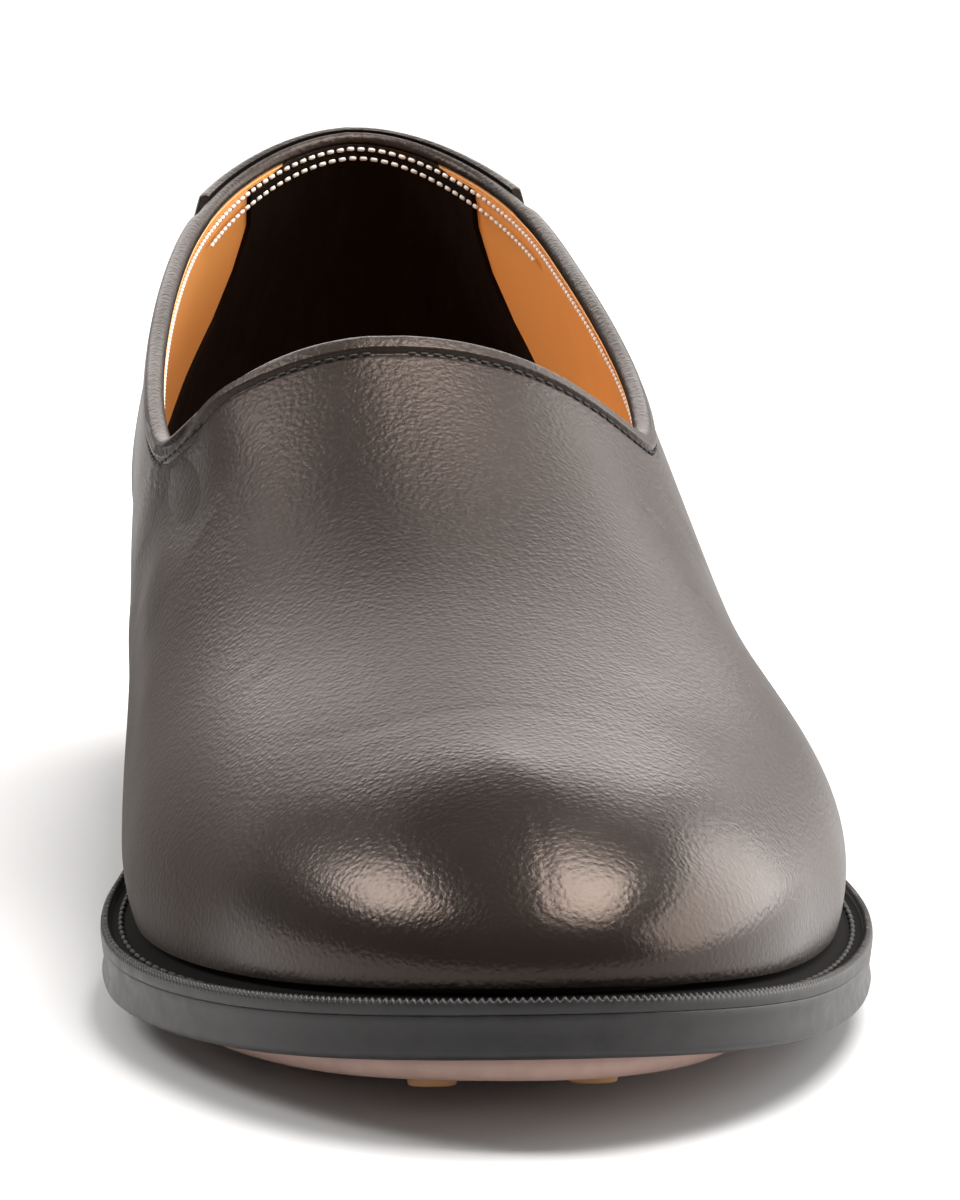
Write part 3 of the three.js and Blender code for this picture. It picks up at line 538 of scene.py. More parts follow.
# Meshes.
def mesh_piece(name, points, faces, material, slot, replaces=None, sharp_deg=40):
    mesh = bpy.data.meshes.new(name)
    mesh.from_pydata(to_metres(points).tolist(), [], faces)
    mesh.validate()
    turned = bmesh.new()
    turned.from_mesh(mesh)
    bmesh.ops.recalc_face_normals(turned, faces=turned.faces)
    turned.to_mesh(mesh)
    turned.free()
    mesh.polygons.foreach_set("use_smooth", [True] * len(mesh.polygons))
    mesh.set_sharp_from_angle(angle=math.radians(sharp_deg))
    mesh.materials.append(material)
    piece = bpy.data.objects.new(name, mesh)
    bpy.context.scene.collection.objects.link(piece)
    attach(piece, "root")
    if replaces:
        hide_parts(replaces)
    return piece


def paint(piece, name, values):
    """Keeps a value from 0 to 1 on each vertex, for the material to read."""
    layer = piece.data.attributes.new(name, "FLOAT", "POINT")
    layer.data.foreach_set("value", np.asarray(values, np.float32).ravel())


def grid_faces(rows, columns, wrap_rows=False, wrap_columns=False):
    i = np.arange(rows if wrap_rows else rows - 1)
    j = np.arange(columns if wrap_columns else columns - 1)
    i, j = np.meshgrid(i, j, indexing="ij")
    ni = (i + 1) % rows
    nj = (j + 1) % columns
    corners = [i * columns + j, ni * columns + j, ni * columns + nj, i * columns + nj]
    return np.stack(corners, -1).reshape(-1, 4).tolist()


def steady(value):
    """A height that is the same all the way back."""
    return lambda back: np.full(np.shape(back), float(value))


def even_inset(value):
    return lambda side, half, back: np.full(np.shape(back), float(value))


def loop_of(half_count, inset, level, end=1.0):
    """The sole's edge as a closed loop: from the toe along the inside of the foot and back."""
    halves = np.linspace(0, 1, half_count + 1) * end
    parts = []
    for side in (MEDIAL, LATERAL):
        back = edge_inset(side, halves, 0.0)[:, 1]
        plan = edge_inset(side, halves, inset(side, halves, back))
        parts.append(np.column_stack([plan, sole_under(plan[:, 1]) + level(plan[:, 1])]))
    last = len(halves) - 1 if end == 1.0 else len(halves)
    return np.vstack([parts[0], parts[1][1:last][::-1]])


def lid_faces(count, start, upward):
    """Faces across a loop, between the points that face each other."""
    faces = []
    for i in range(count // 2 + 1):
        near, far = i, (count - i) % count
        next_near, next_far = (i + 1) % count, (count - i - 1) % count
        if next_near > next_far:
            break
        face = []
        for k in (near, far, next_far, next_near):
            if k not in face:
                face.append(k)
        if len(face) > 2:
            face = [start + k for k in face]
            faces.append(face if upward else face[::-1])
    return faces


def wall_faces(loop_count, count):
    """Faces between loops of count points that run from below upwards."""
    faces = []
    for k in range(loop_count - 1):
        for i in range(count):
            n = (i + 1) % count
            faces.append([(k + 1) * count + i, (k + 1) * count + n, k * count + n, k * count + i])
    return faces


def plate(loops):
    """Points and faces of a solid whose sides are loops that run from below upwards."""
    count = len(loops[0])
    faces = wall_faces(len(loops), count)
    faces += lid_faces(count, 0, False)
    faces += lid_faces(count, (len(loops) - 1) * count, True)
    return np.vstack(loops), faces


def rim_faces(rows, columns, sheet):
    """Faces that close the gap between a sheet and its copy, all round."""
    ring = list(range(columns))
    ring += [i * columns + columns - 1 for i in range(1, rows)]
    ring += [(rows - 1) * columns + j for j in range(columns - 2, -1, -1)]
    ring += [i * columns for i in range(rows - 2, 0, -1)]
    faces = []
    for k, a in enumerate(ring):
        b = ring[(k + 1) % len(ring)]
        faces.append([a, b, b + sheet, a + sheet])
    return faces


def sheet_of(face, back, rim_step):
    """Points and faces of a closed sheet between two grids of the same size."""
    rows, columns = face.shape[:2]
    sheet = rows * columns
    faces = grid_faces(rows, columns)
    faces += [[k + sheet for k in quad[::-1]] for quad in faces]
    faces += [quad[::rim_step] for quad in rim_faces(rows, columns, sheet)]
    return np.concatenate([face.reshape(-1, 3), back.reshape(-1, 3)]), faces


# Materials. The leather's gloss over the toe, its roughness on the inside, and its grain in metres.
POLISH_GLOSS = 0.14
DULL_ROUGHNESS = 0.3
POLISHED_GRAIN = 0.45
PEBBLE_BUMP = 0.00007
PORE_BUMP = 0.00011
GRAIN_STRENGTH = 0.8


def shader(name, colour, roughness, **sockets):
    material = bpy.data.materials.new(name)
    material.use_nodes = True
    principled = material.node_tree.nodes["Principled BSDF"]
    principled.inputs["Base Color"].default_value = (*colour, 1)
    principled.inputs["Roughness"].default_value = roughness
    for key, value in sockets.items():
        principled.inputs[key.replace("_", " ")].default_value = value
    return material


class Nodes:
    """Adds nodes to a material, each joined to the ones before it."""

    # Places of the colour sockets on a mix node.
    COLOUR_A = 6
    COLOUR_B = 7
    COLOUR_RESULT = 2

    def __init__(self, material):
        self.tree = material.node_tree
        self.principled = self.tree.nodes["Principled BSDF"]
        self.place = self.add("ShaderNodeTexCoord").outputs["Object"]

    def add(self, kind, **settings):
        node = self.tree.nodes.new(kind)
        for key, value in settings.items():
            setattr(node, key, value)
        return node

    def link(self, source, target):
        self.tree.links.new(source, target)

    def noise(self, scale, detail=2.0, roughness=0.5, stretch=(1, 1, 1)):
        where = self.add("ShaderNodeMapping")
        where.inputs["Scale"].default_value = stretch
        self.link(self.place, where.inputs["Vector"])
        noise = self.add("ShaderNodeTexNoise")
        noise.inputs["Scale"].default_value = scale
        noise.inputs["Detail"].default_value = detail
        noise.inputs["Roughness"].default_value = roughness
        self.link(where.outputs["Vector"], noise.inputs["Vector"])
        return noise.outputs["Fac"]

    def cells(self, scale, place):
        cells = self.add("ShaderNodeTexVoronoi", feature="F1")
        cells.inputs["Scale"].default_value = scale
        self.link(place, cells.inputs["Vector"])
        return cells.outputs["Distance"]

    def warped(self, scale, amount):
        noise = self.add("ShaderNodeTexNoise")
        noise.inputs["Scale"].default_value = scale
        self.link(self.place, noise.inputs["Vector"])
        push = self.add("ShaderNodeVectorMath", operation="MULTIPLY_ADD")
        push.inputs[1].default_value = (amount, amount, amount)
        self.link(noise.outputs["Color"], push.inputs[0])
        self.link(self.place, push.inputs[2])
        return push.outputs["Vector"]

    def value(self, name):
        return self.add("ShaderNodeAttribute", attribute_name=name).outputs["Fac"]

    def math(self, operation, a, b):
        node = self.add("ShaderNodeMath", operation=operation)
        for socket, value in zip(node.inputs, (a, b)):
            if isinstance(value, (int, float)):
                socket.default_value = value
            else:
                self.link(value, socket)
        return node.outputs["Value"]

    def ramp(self, source, low, high, out_low=0.0, out_high=1.0):
        node = self.add("ShaderNodeMapRange")
        limits = {"From Min": low, "From Max": high, "To Min": out_low, "To Max": out_high}
        for key, value in limits.items():
            node.inputs[key].default_value = value
        self.link(source, node.inputs["Value"])
        return node.outputs["Result"]

    def colour_mix(self, share, first, second):
        node = self.add("ShaderNodeMix", data_type="RGBA")
        self.link(share, node.inputs["Factor"])
        node.inputs[self.COLOUR_A].default_value = (*first, 1)
        node.inputs[self.COLOUR_B].default_value = (*second, 1)
        return node.outputs[self.COLOUR_RESULT]

    def colour(self, source):
        self.link(source, self.principled.inputs["Base Color"])

    def roughness(self, source):
        self.link(source, self.principled.inputs["Roughness"])

    def bump(self, height, distance, strength=1.0, below=None):
        node = self.add("ShaderNodeBump")
        node.inputs["Strength"].default_value = strength
        node.inputs["Distance"].default_value = distance
        self.link(height, node.inputs["Height"])
        if below:
            self.link(below, node.inputs["Normal"])
        self.link(node.outputs["Normal"], self.principled.inputs["Normal"])
        return node.outputs["Normal"]


def leather_material():
    """Dark leather with a fine pebble grain, dull low on the inside and polished over the toe."""
    material = shader(
        "pebbled_leather", (0.01, 0.007, 0.006), 0.42,
        Specular_IOR_Level=0.4, Specular_Tint=(1, 0.79, 0.69, 1),
        Sheen_Weight=0.02, Sheen_Roughness=0.45, Sheen_Tint=(1, 0.84, 0.76, 1),
    )
    n = Nodes(material)
    warped = n.warped(900, 0.0007)
    pebbles = n.cells(1150, warped)
    fine = n.noise(1500, 3.0, 0.65)
    wide = n.noise(45, 3.0)
    n.colour(n.colour_mix(wide, (0.005, 0.0036, 0.003), (0.012, 0.009, 0.0075)))
    matt = n.ramp(wide, 0.3, 0.7, 0.35, 0.42)
    polished = n.math("MULTIPLY", n.value("polish"), -POLISH_GLOSS)
    dull = n.math("MULTIPLY", n.value("dull"), DULL_ROUGHNESS)
    n.roughness(n.math("ADD", n.math("ADD", matt, polished), dull))
    worn = n.ramp(n.value("polish"), 0.0, 1.0, 1.0, POLISHED_GRAIN)
    domes = n.math("MULTIPLY", n.ramp(pebbles, 0.05, 0.7, 1.0, 0.0), worn)
    grain = n.bump(domes, PEBBLE_BUMP, GRAIN_STRENGTH)
    n.bump(n.math("MULTIPLY", fine, worn), PORE_BUMP, GRAIN_STRENGTH, grain)
    return material


def lining_material():
    """Orange-tan lining leather, smooth and a little uneven in tone."""
    material = shader("tan_lining", (0.78, 0.29, 0.062), 0.5)
    n = Nodes(material)
    wide = n.noise(60, 3.0)
    n.colour(n.colour_mix(wide, (0.96, 0.4, 0.105), (0.98, 0.48, 0.14)))
    n.bump(n.noise(1800, 2.0), 0.00004, 0.6)
    return material


def suede_material():
    """Dark brown suede with its nap brushed up and down."""
    material = shader("dark_suede", (0.006, 0.0036, 0.0024), 1.0, Specular_IOR_Level=0.1)
    n = Nodes(material)
    nap = n.noise(420, 3.0, 0.6, (1, 1, 0.18))
    n.colour(n.colour_mix(nap, (0.003, 0.0016, 0.0009), (0.017, 0.0088, 0.0044)))
    n.bump(nap, 0.0002, 0.8)
    return material


def thread_material(name, colour):
    material = shader(name, colour, 0.7)
    n = Nodes(material)
    n.bump(n.noise(4000, 1.0), 0.00005, 0.5)
    return material


def edge_material(name, colour, roughness):
    """Inked and waxed leather edge: satin, with fine lines along it."""
    material = shader(
        name, colour, roughness, Specular_IOR_Level=0.35, Coat_Weight=0.07, Coat_Roughness=0.3
    )
    n = Nodes(material)
    lines = n.noise(900, 3.0, 0.6, (0.12, 0.12, 1))
    spots = n.noise(260, 4.0, 0.65)
    darker = tuple(0.55 * c for c in colour)
    lighter = tuple(1.5 * c for c in colour)
    n.colour(n.colour_mix(n.ramp(spots, 0.35, 0.7), darker, lighter))
    n.roughness(n.ramp(spots, 0.3, 0.7, roughness - 0.06, roughness + 0.1))
    n.bump(lines, 0.00008, 0.5)
    return material


def rubber_material(name, colour, roughness):
    material = shader(name, colour, roughness)
    n = Nodes(material)
    spots = n.noise(300, 3.0)
    n.colour(n.colour_mix(spots, tuple(0.85 * c for c in colour), tuple(1.15 * c for c in colour)))
    n.bump(n.noise(1500, 2.0), 0.00005, 0.6)
    return material


MAT_LEATHER = leather_material()
MAT_LINING = lining_material()
MAT_SUEDE = suede_material()
MAT_WHITE_THREAD = thread_material("white_thread", (0.88, 0.86, 0.81))
MAT_DARK_THREAD = thread_material("dark_thread", (0.012, 0.011, 0.01))
MAT_EDGE = edge_material("inked_edge", (0.012, 0.0115, 0.0118), 0.42)
MAT_WELT = edge_material("inked_welt", (0.013, 0.0125, 0.013), 0.45)
# Painted shade: a black, matte, barely reflective finish for the welt's ledge inside the ribs, standing
# in for the shadow in the groove under the upper's overhang.
MAT_GROOVE_SHADE = shader("painted_shade_groove", (0.007, 0.0065, 0.0065), 1.0, Specular_IOR_Level=0.1)
MAT_HEEL = edge_material("inked_heel", (0.026, 0.025, 0.026), 0.4)
MAT_HEEL_RUBBER = rubber_material("heel_rubber_black", (0.02, 0.02, 0.02), 0.7)
MAT_PAD = rubber_material("pad_rubber_pink", (0.5, 0.335, 0.28), 0.6)
MAT_STUD = rubber_material("stud_rubber_tan", (0.6, 0.33, 0.15), 0.6)
MAT_SOCK = shader("insole_sock", (0.03, 0.018, 0.012), 0.8)


# The leather upper with its turned edge and creases. Columns run up from the feather; near the edge
# they lie close together for the fold and the groove that holds its stitches.
BODY_COLUMNS = 96
BODY_CROWDING = 1.15
EDGE_BAND = 7.0
EDGE_STEP = 0.22
EDGE_STOP = 1.4
ROLL_COLUMNS = 12
INNER_COLUMNS = 14
INNER_START = 2.0
SKIN_OFFSET = -1.1
FOLD_MARGIN = 6.0
FOLD_FADE = 4.0
FOLD_SOFTNESS = 0.3
GROOVE_DEPTH = 0.3
GROOVE_WIDTH = 0.4
GROOVE_BELOW_FOLD = 0.55
# Where the polish over the toe fades out, behind the toe, and where the inside of the foot dulls:
# distances in from the shoe's axis, and a height.
POLISH_START = 34.0
POLISH_END = 62.0
DULL_FROM = 30.0
DULL_TO = 42.0
DULL_TOP = 62.0


def fold_share(around):
    reach = by_side(around, OVERLAY_REACH) + FOLD_MARGIN
    return smooth(reach, reach + FOLD_FADE, np.abs(around))


# Creases: points of (x, back, height) in millimetres, the width, and the depth of the trough. A
# lower ridge runs along both sides of each trough.
CREASE_SAMPLES = 30
RIDGE_SHARE = 0.45
RIDGE_AWAY = 1.7
RIDGE_WIDTH = 0.8
CREASE_REACH = 4.0
CREASES = [
    ([(-38.5, 166, 66), (-37, 154, 63), (-36, 144, 61), (-34, 133, 61)], 8.0, 1.6),
    ([(-42, 158, 52), (-41.5, 150, 49), (-42, 143, 45)], 5.0, 0.6),
    ([(-42.8, 145, 40.7), (-44.1, 129, 35), (-45.2, 111, 29.6), (-46.4, 82, 24.3)], 5.0, 0.5),
    ([(-34.7, 71, 40), (-19.1, 55.3, 45), (-0.3, 54.4, 48.1), (18.5, 49.7, 44.2)], 1.7, 0.06),
    ([(-32.2, 83.3, 44.7), (-25.8, 85.8, 49.2)], 1.5, 0.07),
    ([(-33.3, 90.5, 45.4), (-27.5, 92.7, 50)], 1.4, 0.06),
    ([(27.3, 134.7, 61.1), (32.5, 136.6, 55.7)], 1.5, 0.2),
    ([(30.9, 148.5, 60.8), (35.5, 151, 54), (37.7, 151.8, 50)], 3.2, 0.35),
    ([(32.5, 120.7, 52.6), (34.5, 116.2, 49.9)], 1.5, 0.2),
]


def crease_offset(points):
    total = np.zeros(points.shape[:-1])
    for path, width, depth in CREASES:
        line = Spline(path, False).at(np.linspace(0, len(path) - 1, CREASE_SAMPLES))
        near = np.abs(points - line.mean(0)).max(-1) < np.ptp(line, 0).max() + CREASE_REACH * width
        gaps = np.linalg.norm(points[near][:, None, :] - line, axis=-1)
        gap = gaps.min(-1)
        taper = np.sin(math.pi * (gaps.argmin(-1) + 1.5) / (len(line) + 2))
        ridges = RIDGE_SHARE * bell(gap - RIDGE_AWAY * width, width * RIDGE_WIDTH)
        total[near] += taper * depth * (ridges - bell(gap, width))
    return total


def upper_piece():
    length = LEATHER.length[:, None]
    body = np.linspace(0, 1, BODY_COLUMNS) ** BODY_CROWDING
    close = np.arange(EDGE_BAND, EDGE_STOP, -EDGE_STEP)
    distances = np.hstack([(length - EDGE_BAND) * body[:-1], length - close])
    depth = length - distances
    points = LEATHER.at(distances)
    normals = grid_normals(points)
    fold = fold_share(LEATHER.around)[:, None]
    band = FOLD_STEP * smooth(FOLD_WIDTH + FOLD_SOFTNESS, FOLD_WIDTH - FOLD_SOFTNESS, depth) * fold
    groove = GROOVE_DEPTH * bell(depth - FOLD_WIDTH - GROOVE_BELOW_FOLD, GROOVE_WIDTH) * fold
    outer = points + normals * (band - groove + crease_offset(points))[..., None]
    radius = (UPPER_WALL + FOLD_STEP * fold) / 2
    middle = FOLD_STEP * fold - radius
    angles = np.linspace(0, math.pi, ROLL_COLUMNS + 1)
    roll_depth = radius * (1 - np.sin(angles))
    roll_offset = middle + radius * np.cos(angles)
    around = LEATHER.around[:, None]
    roll = LEATHER.place(around, roll_depth, roll_offset)
    inner_depth = mix(INNER_START, length, np.linspace(0, 1, INNER_COLUMNS))
    inner = LEATHER.place(around, inner_depth, SKIN_OFFSET)
    grid = np.concatenate([outer, roll, inner], axis=1)
    faces = grid_faces(*grid.shape[:2], wrap_rows=True, wrap_columns=True)
    piece = mesh_piece("leather_upper", grid, faces, MAT_LEATHER, "upper_leather", "upper", sharp_deg=60)
    paint(piece, "polish", smooth(POLISH_END, POLISH_START, grid[..., 1]))
    low_down = smooth(DULL_TOP, DULL_TOP / 2, grid[..., 2])
    paint(piece, "dull", smooth(DULL_FROM, DULL_TO, -grid[..., 0]) * low_down)


upper_piece()


# Linings: a closed skin inside the leather, and the suede grip over its back part. The lining lies
# between two offsets from the leather's outside, and its rounded edge is a table of depth, offset.
LINING_TOP = 1.5
LINING_IN = -2.15
LINING_OUT = -1.25
LINING_START = 2.6
LINING_EDGE = [(2.6, LINING_OUT), (1.9, LINING_OUT), (1.5, -1.5), (1.45, -2.0), (1.6, -2.3)]
LINING_FOOT = 0.6
LINING_COLUMNS = 60
OUTSIDE_COLUMNS = 12
LIP_HEIGHT = 0.12
LIP_WIDTH = 0.7


def lining_piece():
    around = LEATHER.around[:, None]
    length = LEATHER.length[:, None]
    bottom = length - LINING_FOOT
    edge_depth, edge_offset = np.array([[row] * len(around) for row in zip(*LINING_EDGE)])
    body_depth = mix(LINING_TOP + 0.6, bottom, np.linspace(0, 1, LINING_COLUMNS))
    lip = LIP_HEIGHT * bell(body_depth - LINING_TOP - 0.5, LIP_WIDTH)
    outer_depth = mix(LINING_START, bottom, np.linspace(1, 0, OUTSIDE_COLUMNS)[:-1])
    depth = np.hstack([edge_depth, body_depth, outer_depth])
    offset = np.hstack([edge_offset, LINING_IN - lip, np.full(outer_depth.shape, LINING_OUT)])
    grid = LEATHER.place(around, depth, offset)
    faces = grid_faces(*grid.shape[:2], wrap_rows=True, wrap_columns=True)
    mesh_piece("quarter_lining", grid, faces, MAT_LINING, "upper_leather", sharp_deg=60)


lining_piece()

# The grip's front edges: the reach from the back at each depth below the topline.
GRIP_EDGE = {
    MEDIAL: [(2.4, 22.5), (9, 20), (16, 21), (23, 23.5), (30, 28), (36, 31), (45, 38), (60, 52)],
    LATERAL: [(2.4, 24), (9, 22.5), (16, 23.5), (23, 26.5), (30, 31.5), (36, 38), (45, 48), (60, 64)],
}
GRIP_TOP = 2.3
GRIP_BOTTOM = 60.0
GRIP_THICKNESS = 0.55
GRIP_GRID = (150, 90)
BAND_DEPTHS = (1.3, 3.2)
BAND_REACH = {MEDIAL: 13.0, LATERAL: 15.0}
BAND_FLARE = 6.0
BAND_THICKNESS = 0.15
BAND_GRID = (60, 8)
SHEET_FOOT = 1.0
SHEET_PROUD = 0.1
SHEET_SUNK = 0.25


def inside_sheet(name, around, depth, thick, material, slot):
    """A thin closed sheet on the lining, with its rim let into it."""
    depth = np.minimum(np.broadcast_to(depth, around.shape), LEATHER.row_length(around) - SHEET_FOOT)
    face = LEATHER.place(around, depth, LINING_IN - SHEET_PROUD - thick)
    back = LEATHER.place(around, depth, LINING_IN + SHEET_SUNK)
    mesh_piece(name, *sheet_of(face, back, 1), material, slot, sharp_deg=60)


def grip_piece():
    rows, columns = GRIP_GRID
    depth = mix(GRIP_TOP, GRIP_BOTTOM, np.linspace(0, 1, columns))
    turn = np.linspace(-1, 1, rows)[:, None]
    reach = {side: np.interp(depth, *zip(*GRIP_EDGE[side])) for side in GRIP_EDGE}
    around = turn * by_side(turn, reach)
    thin_sides = np.clip(4 * (1 - np.abs(turn) ** 60), 0, 1)
    thin_top = smooth(0, 0.7, depth - GRIP_TOP + 0.15)
    thick = GRIP_THICKNESS * thin_sides * thin_top
    inside_sheet("heel_grip", around, depth, thick, MAT_SUEDE, "insole")


def band_piece():
    """Smooth leather over the lining at the back, from the topline to the stitches."""
    rows, columns = BAND_GRID
    turn = np.linspace(-1, 1, rows)[:, None]
    share = np.linspace(0, 1, columns)
    reach = by_side(turn, BAND_REACH) + BAND_FLARE * share
    depth = mix(*BAND_DEPTHS, share)
    inside_sheet("back_band", turn * reach, depth, BAND_THICKNESS, MAT_LEATHER, "upper_leather")


grip_piece()
band_piece()


# Stitches: small capsules laid along a line, with shares of the length and of the width.
STITCH_SIDES = 6
STITCH_PROFILE = [(-0.5, 0.35), (-0.38, 0.9), (0, 1.0), (0.38, 0.9), (0.5, 0.35)]
STITCH_FLATNESS = 0.8


def stitch_piece(name, centres, directions, outward, length, width, material, slot):
    sides = STITCH_SIDES
    profile = STITCH_PROFILE
    across = np.cross(directions, outward)
    points = []
    faces = []
    for centre, along, out, wide in zip(centres, directions, outward, across):
        base = len(points)
        for where, size in profile:
            for k in range(sides):
                angle = 2 * math.pi * k / sides
                radial = wide * math.cos(angle) + out * math.sin(angle) * STITCH_FLATNESS
                points.append(centre + along * where * length + radial * width / 2 * size)
        for ring in range(len(profile) - 1):
            for k in range(sides):
                n = (k + 1) % sides
                a = base + ring * sides
                faces.append([a + k, a + n, a + sides + n, a + sides + k])
        faces.append([base + k for k in reversed(range(sides))])
        faces.append([base + (len(profile) - 1) * sides + k for k in range(sides)])
    mesh_piece(name, np.array(points), faces, material, slot, sharp_deg=80)


def line_stitches(line, outward, pitch):
    """Centres, directions and outward directions at even steps along a line of points."""
    steps = np.linalg.norm(np.diff(line, axis=0), axis=1)
    walked = np.concatenate([[0], np.cumsum(steps)])
    count = int(walked[-1] / pitch)
    at = (np.arange(count) + 0.5) * walked[-1] / count

    def picked(values):
        return np.stack([np.interp(at, walked, values[:, k]) for k in range(3)], -1)

    centres = picked(line)
    out = picked(outward)
    along = picked(np.gradient(line, axis=0) / np.gradient(walked)[:, None])
    along /= np.linalg.norm(along, axis=1, keepdims=True)
    out -= along * (out * along).sum(1, keepdims=True)
    return centres, along, out / np.linalg.norm(out, axis=1, keepdims=True)


def edge_line(start, end, depth, offset):
    """A line at a depth below the opening's edge, between two distances around from the back."""
    around = np.linspace(start, end, LINE_SAMPLES)
    line = LEATHER.place(around, depth, offset)
    out = LEATHER.place(around, depth, offset + 1.0) - line
    return line, out


def join_lines(lines, pitch):
    parts = [line_stitches(*line, pitch) for line in lines]
    return [np.concatenate([part[k] for part in parts]) for k in range(3)]


FULL_MEDIAL = -TOPLINES[MEDIAL].length
FULL_LATERAL = TOPLINES[LATERAL].length
LINE_SAMPLES = 700
ROW_SAMPLES = 200
ROW_END = 14.0
# Stitches: pitch, length and width.
LINING_STITCH = (1.6, 1.1, 0.72)
TOPLINE_STITCH = (1.75, 1.2, 0.5)
WELT_STITCH = (3.2, 2.6, 0.8)
# The rows' depths below the topline: distance around from the back, depth.
FIRST_ROW = [(-60, 3.5), (-34, 3.1), (-20, 2.6), (0, 2.0), (20, 2.5), (34, 2.8), (60, 3.1)]
SECOND_ROW = [(-38, 5.9), (-32, 5.5), (-20, 4.6), (0, 3.4), (20, 4.4), (34, 5.2), (48, 5.8)]


def inside_row(start, end, rows, offset):
    curve = Spline(rows, False).at(np.linspace(0, len(rows) - 1, ROW_SAMPLES))
    depth = np.interp(np.linspace(start, end, LINE_SAMPLES), curve[:, 0], curve[:, 1])
    return edge_line(start, end, depth, offset)


inside_lines = [
    inside_row(FULL_MEDIAL + ROW_END, FULL_LATERAL - ROW_END, FIRST_ROW, LINING_IN - 0.35),
    inside_row(SECOND_ROW[0][0], SECOND_ROW[-1][0], SECOND_ROW, LINING_IN - 0.75),
]
pitch, *size = LINING_STITCH
centres, along, out = join_lines(inside_lines, pitch)
stitch_piece("lining_stitches", centres, along, -out, *size, MAT_WHITE_THREAD, "upper_leather")

outside_line = edge_line(FULL_MEDIAL, FULL_LATERAL, FOLD_WIDTH + GROOVE_BELOW_FOLD, 0.02)
pitch, *size = TOPLINE_STITCH
centres, along, out = join_lines([outside_line], pitch)
stitch_piece("topline_stitches", centres, along, out, *size, MAT_DARK_THREAD, "upper_leather")


# The heel overlay: its rows run up, from the strip on the back's middle out to both front edges.
OVERLAY_TURNS = 60
OVERLAY_COLUMNS = 60
STRIP_COLUMNS = 14
OVERLAY_EDGE_START = 1.5
OVERLAY_ROUND = 1.0
OVERLAY_ROUND_COLUMNS = 6
RIM_SINK = 0.3
FOOT_SINK = 0.25


def overlay_piece():
    sides = []
    for side in (MEDIAL, LATERAL):
        angle = math.pi / 2 * (1 - np.arange(OVERLAY_TURNS + 1) / OVERLAY_TURNS)
        reach = mix(BACK_STRIP_HALF_WIDTH, OVERLAY_REACH[side], 1 - np.cos(angle))
        low = np.sin(angle)
        end = STRIP_COLUMNS if side == MEDIAL else STRIP_COLUMNS - 1
        strip = np.linspace(1, 0, STRIP_COLUMNS)[1:end] * BACK_STRIP_HALF_WIDTH
        reach = np.concatenate([reach, strip])
        low = np.concatenate([low, np.zeros(len(strip))])
        sides.append((side * reach, low))
    around = np.concatenate([sides[0][0], sides[1][0][::-1]])[:, None]
    low = np.concatenate([sides[0][1], sides[1][1][::-1]])[:, None]
    length = LEATHER.row_length(around)
    bottom = mix(OVERLAY_FOOT, length - OVERLAY_FRONT, low)
    body = mix(length - bottom, OVERLAY_EDGE_START, np.linspace(0, 1, OVERLAY_COLUMNS))
    lift = OVERLAY_GAP + OVERLAY_THICKNESS
    angles = np.linspace(0, math.pi / 2, OVERLAY_ROUND_COLUMNS + 1)[1:]
    roll_shape = (len(around), OVERLAY_ROUND_COLUMNS)
    roll_depth = np.broadcast_to(OVERLAY_ROUND * (1 - np.sin(angles)), roll_shape)
    roll_lift = np.broadcast_to(lift - OVERLAY_ROUND * (1 - np.cos(angles)), roll_shape)
    depth = np.hstack([body, roll_depth])
    offset = np.hstack([np.full(body.shape, lift), roll_lift])
    rim = np.minimum(np.arange(len(around)), np.arange(len(around))[::-1])[:, None]
    column = np.arange(depth.shape[1])[None]
    offset = offset - RIM_SINK * (rim == 0) - FOOT_SINK * (column == 0)
    face = LEATHER.place(around, depth, offset)
    back = LEATHER.place(around, depth, np.minimum(offset - 0.3, OVERLAY_GAP - 0.35))
    points, faces = sheet_of(face, back, -1)
    slot = "overlay_leather"
    mesh_piece("overlay_leather", points, faces, MAT_LEATHER, slot, "heel_overlay", sharp_deg=50)


overlay_piece()


# The sole, its welt and the pieces under it. SOLE_SIDE: share of the thickness, inset in from the edge.
LOOP_HALF = 420
WELT_HALF = 1500
RIB_PITCH = 1.08
RIB_HEIGHT = 0.26
SOLE_SIDE = [
    (0, 1.7), (0.05, 1.0), (0.12, 0.4), (0.2, 0.3), (0.5, 0.6), (0.85, 0.3), (1, 0.22), (1.04, 0.3),
]
WELT_TOP = WELT_LEVEL + WELT_THICKNESS
WELT_RIB_LOOP = 4
WELT_SHADE_FROM = 8
WELT_LINE_SAMPLES = 900


def outsole_piece():
    loops = []
    for up, inset in SOLE_SIDE:
        loops.append(loop_of(LOOP_HALF, even_inset(inset), steady(up * OUTSOLE_THICKNESS)))
    points, faces = plate(loops)
    mesh_piece("sole_edge", points, faces, MAT_EDGE, "outsole", "outsole", sharp_deg=50)


outsole_piece()


def share_inset(share):
    return lambda side, half, back: share * ledge(back)


def inset_under(tuck):
    """An inset that ends a tuck in from the inside of the leather's wall."""
    return lambda side, half, back: ledge(back) + UPPER_WALL + tuck


